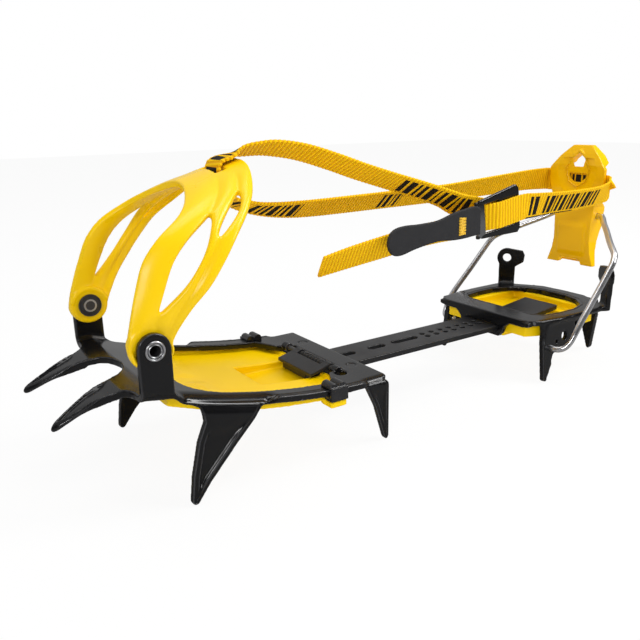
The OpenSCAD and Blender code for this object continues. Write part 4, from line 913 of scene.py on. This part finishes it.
bump = put(tree, "Bump", [("Height", height.outputs[0]), ("Strength", 0.8), ("Distance", 0.00012)])
tree.links.new(bump.outputs[0], shader.inputs["Normal"])
shader.inputs["Roughness"].default_value = 0.75
shader.inputs["Specular IOR Level"].default_value = 0.15


def strap_part(name, first, last):
    """The strap from one station to another as its own piece."""
    stations = list(range(first, last + 1))
    piece = swept(name, stations, lambda k: strap_ring(stations[k]))
    mesh = piece.data
    count = len(profile)
    layer = mesh.uv_layers.new(name="webbing")
    for face in mesh.polygons:
        for loop in face.loop_indices:
            index = mesh.loops[loop].vertex_index
            layer.data[loop].uv = (along[stations[index // count]], profile[index % count][0])
    for label, values in (("woven_mark", marked), ("sewn_edge", edge_line)):
        store = mesh.attributes.new(label, "FLOAT", "POINT")
        store.data.foreach_set("value", np.repeat(values[stations], count).astype(np.float32))
    only(piece)
    bpy.ops.object.shade_smooth_by_angle(angle=math.radians(50))
    mesh.materials.append(webbing)
    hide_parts("ankle_strap")
    return piece


def station(which, x):
    """First station in a part of the route, past x in the direction that the strap runs."""
    for i in range(len(strap_at) - 1):
        if section[i] == which and (strap_at[i, 0] - x) * (strap_at[i + 1, 0] - x) <= 0:
            return i
    raise ValueError((which, x))


# The strap is cut into lengths at these stations; the first and the last ride on the front section,
# and the ones between stay where they are
cuts = [0, station(0, 150), station(2, 118), station(2, 186), station(2, 286), station(4, 281),
        station(4, 236), station(4, 215), len(strap_at) - 1]
lengths = [strap_part("strap_length_%d" % (k + 1), cuts[k], cuts[k + 1])
           for k in range(len(cuts) - 1)]
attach(lengths[0], "front")
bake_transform(lengths[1])
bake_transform(lengths[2])
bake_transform(lengths[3])
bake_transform(lengths[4])
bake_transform(lengths[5])
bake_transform(lengths[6])
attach(lengths[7], "front")

# Buckle: a plate of black steel with two windows, and a broad polished bar in its front end.
buckle_plate = cast("buckle_plate", "buckle_frame")
join(buckle_plate,
     prism("window_top", [in_buckle(p, 0, q)[::2] for p, q in ((3, 5), (13, 5), (13, 9), (3, 9))],
           buckle_y - 0.9, buckle_y + 0.9, True))
skin(buckle_plate, 0.26, 7)
fit(buckle_plate, "buckle", black_coat, "black_steel", "buckle_frame")
polished = finish_of("polished_dark_steel", (0.2, 0.2, 0.21), (0.3, 0.3, 0.31), (0.6, 0.6, 0.62),
                     0.5, 0.14, 0.22, 120, 3000, 0.00001, Metallic=1.0)
bar_height = [k / 24 * 2 - 1 for k in range(25)]


def bar_ring(i):
    """The front bar's outline at station i: a rounded flat, narrower at its two ends."""
    share = bar_height[i]
    half_w = 3.1 * (1 - max(0, abs(share) - 0.9) * 2)
    ring = []
    for a in np.linspace(0, 2 * math.pi, 24, endpoint=False):
        c, s = math.cos(a), math.sin(a)
        at = in_buckle(-12.9 + half_w * math.copysign(abs(c) ** 0.6, c),
                       buckle_y - 0.5 + 0.4 * share * share + 0.85 * math.copysign(abs(s) ** 0.8, s)
                       + 0.05 * c, 9.0 * share)
        ring.append((at[0] / 1000 + toe_x, at[1] / 1000, at[2] / 1000))
    return ring


front_bar = swept("buckle_front_bar", bar_height, bar_ring)
only(front_bar)
bpy.ops.object.shade_smooth_by_angle(angle=math.radians(50))
fit(front_bar, "buckle", polished, "bright_steel", "buckle_bar")

# Pull tab: close-woven black webbing folded round the bar and held by one block of yellow
# stitches, which is a row of short threads side by side.
tab_cloth = finish_of("tab_cloth", (0.02, 0.02, 0.022), (0.03, 0.03, 0.033), (0.05, 0.05, 0.05),
                      0.3, 0.6, 0.75, 300, 2600, 0.00012, Specular_IOR_Level=0.3)
tab_outline, _ = smooth_line([
    (-15.2, 4.8), (-19, 6), (-27, 5.4), (-35, 4), (-45, 1.4), (-56, 0.8), (-67, 0.8), (-73, -0.6),
    (-76, -4), (-76, -9), (-73, -12.4), (-68, -13), (-59, -11), (-45, -9), (-33, -9.6), (-22, -9.2),
    (-14.6, -8.8)], 6)
tab = prism("pull_tab_sewn", [(buckle_x + p, buckle_z + q) for p, q in tab_outline],
            buckle_y - 3.5, buckle_y - 1.9, True)
skin(tab, 0.36, 4)
v, _ = points(tab)
v[:, 1] += 0.9 * ease(buckle_x - 28, buckle_x - 17, v[:, 0])
move_points(tab, v)
fit(tab, "buckle", tab_cloth, "black_webbing", "pull_tab")
thread_yellow = finish_of("thread_yellow", (0.75, 0.4, 0.0), (0.95, 0.55, 0.0), (1.0, 0.7, 0.1),
                          0.3, 0.5, 0.6, 300, 3000, 0.00005)
stitch_r, stitch_len, stitch_pitch = 0.42, 4.4, 0.72
stitch_x, stitch_y, stitch_z = 168, -29.53, 89
threads = None
for k in range(12):
    bpy.ops.mesh.primitive_cylinder_add(vertices=8, radius=stitch_r / 1000, depth=stitch_len / 1000)
    stitch = bpy.context.object
    only(stitch)
    at = Vector((stitch_x, stitch_y, stitch_z + stitch_pitch * k)) / 1000 + Vector((toe_x, 0, 0))
    stitch.data.transform(Matrix.Translation(at)
                          @ Matrix.Rotation(math.radians(90 + (5 if k % 2 else -5)), 4, "Y"))
    bpy.ops.object.location_clear()
    bpy.ops.object.shade_smooth()
    if threads:
        join(threads, stitch)
    else:
        threads = stitch
threads.name = "tab_stitches"
fit(threads, "buckle", thread_yellow, "yellow_webbing")
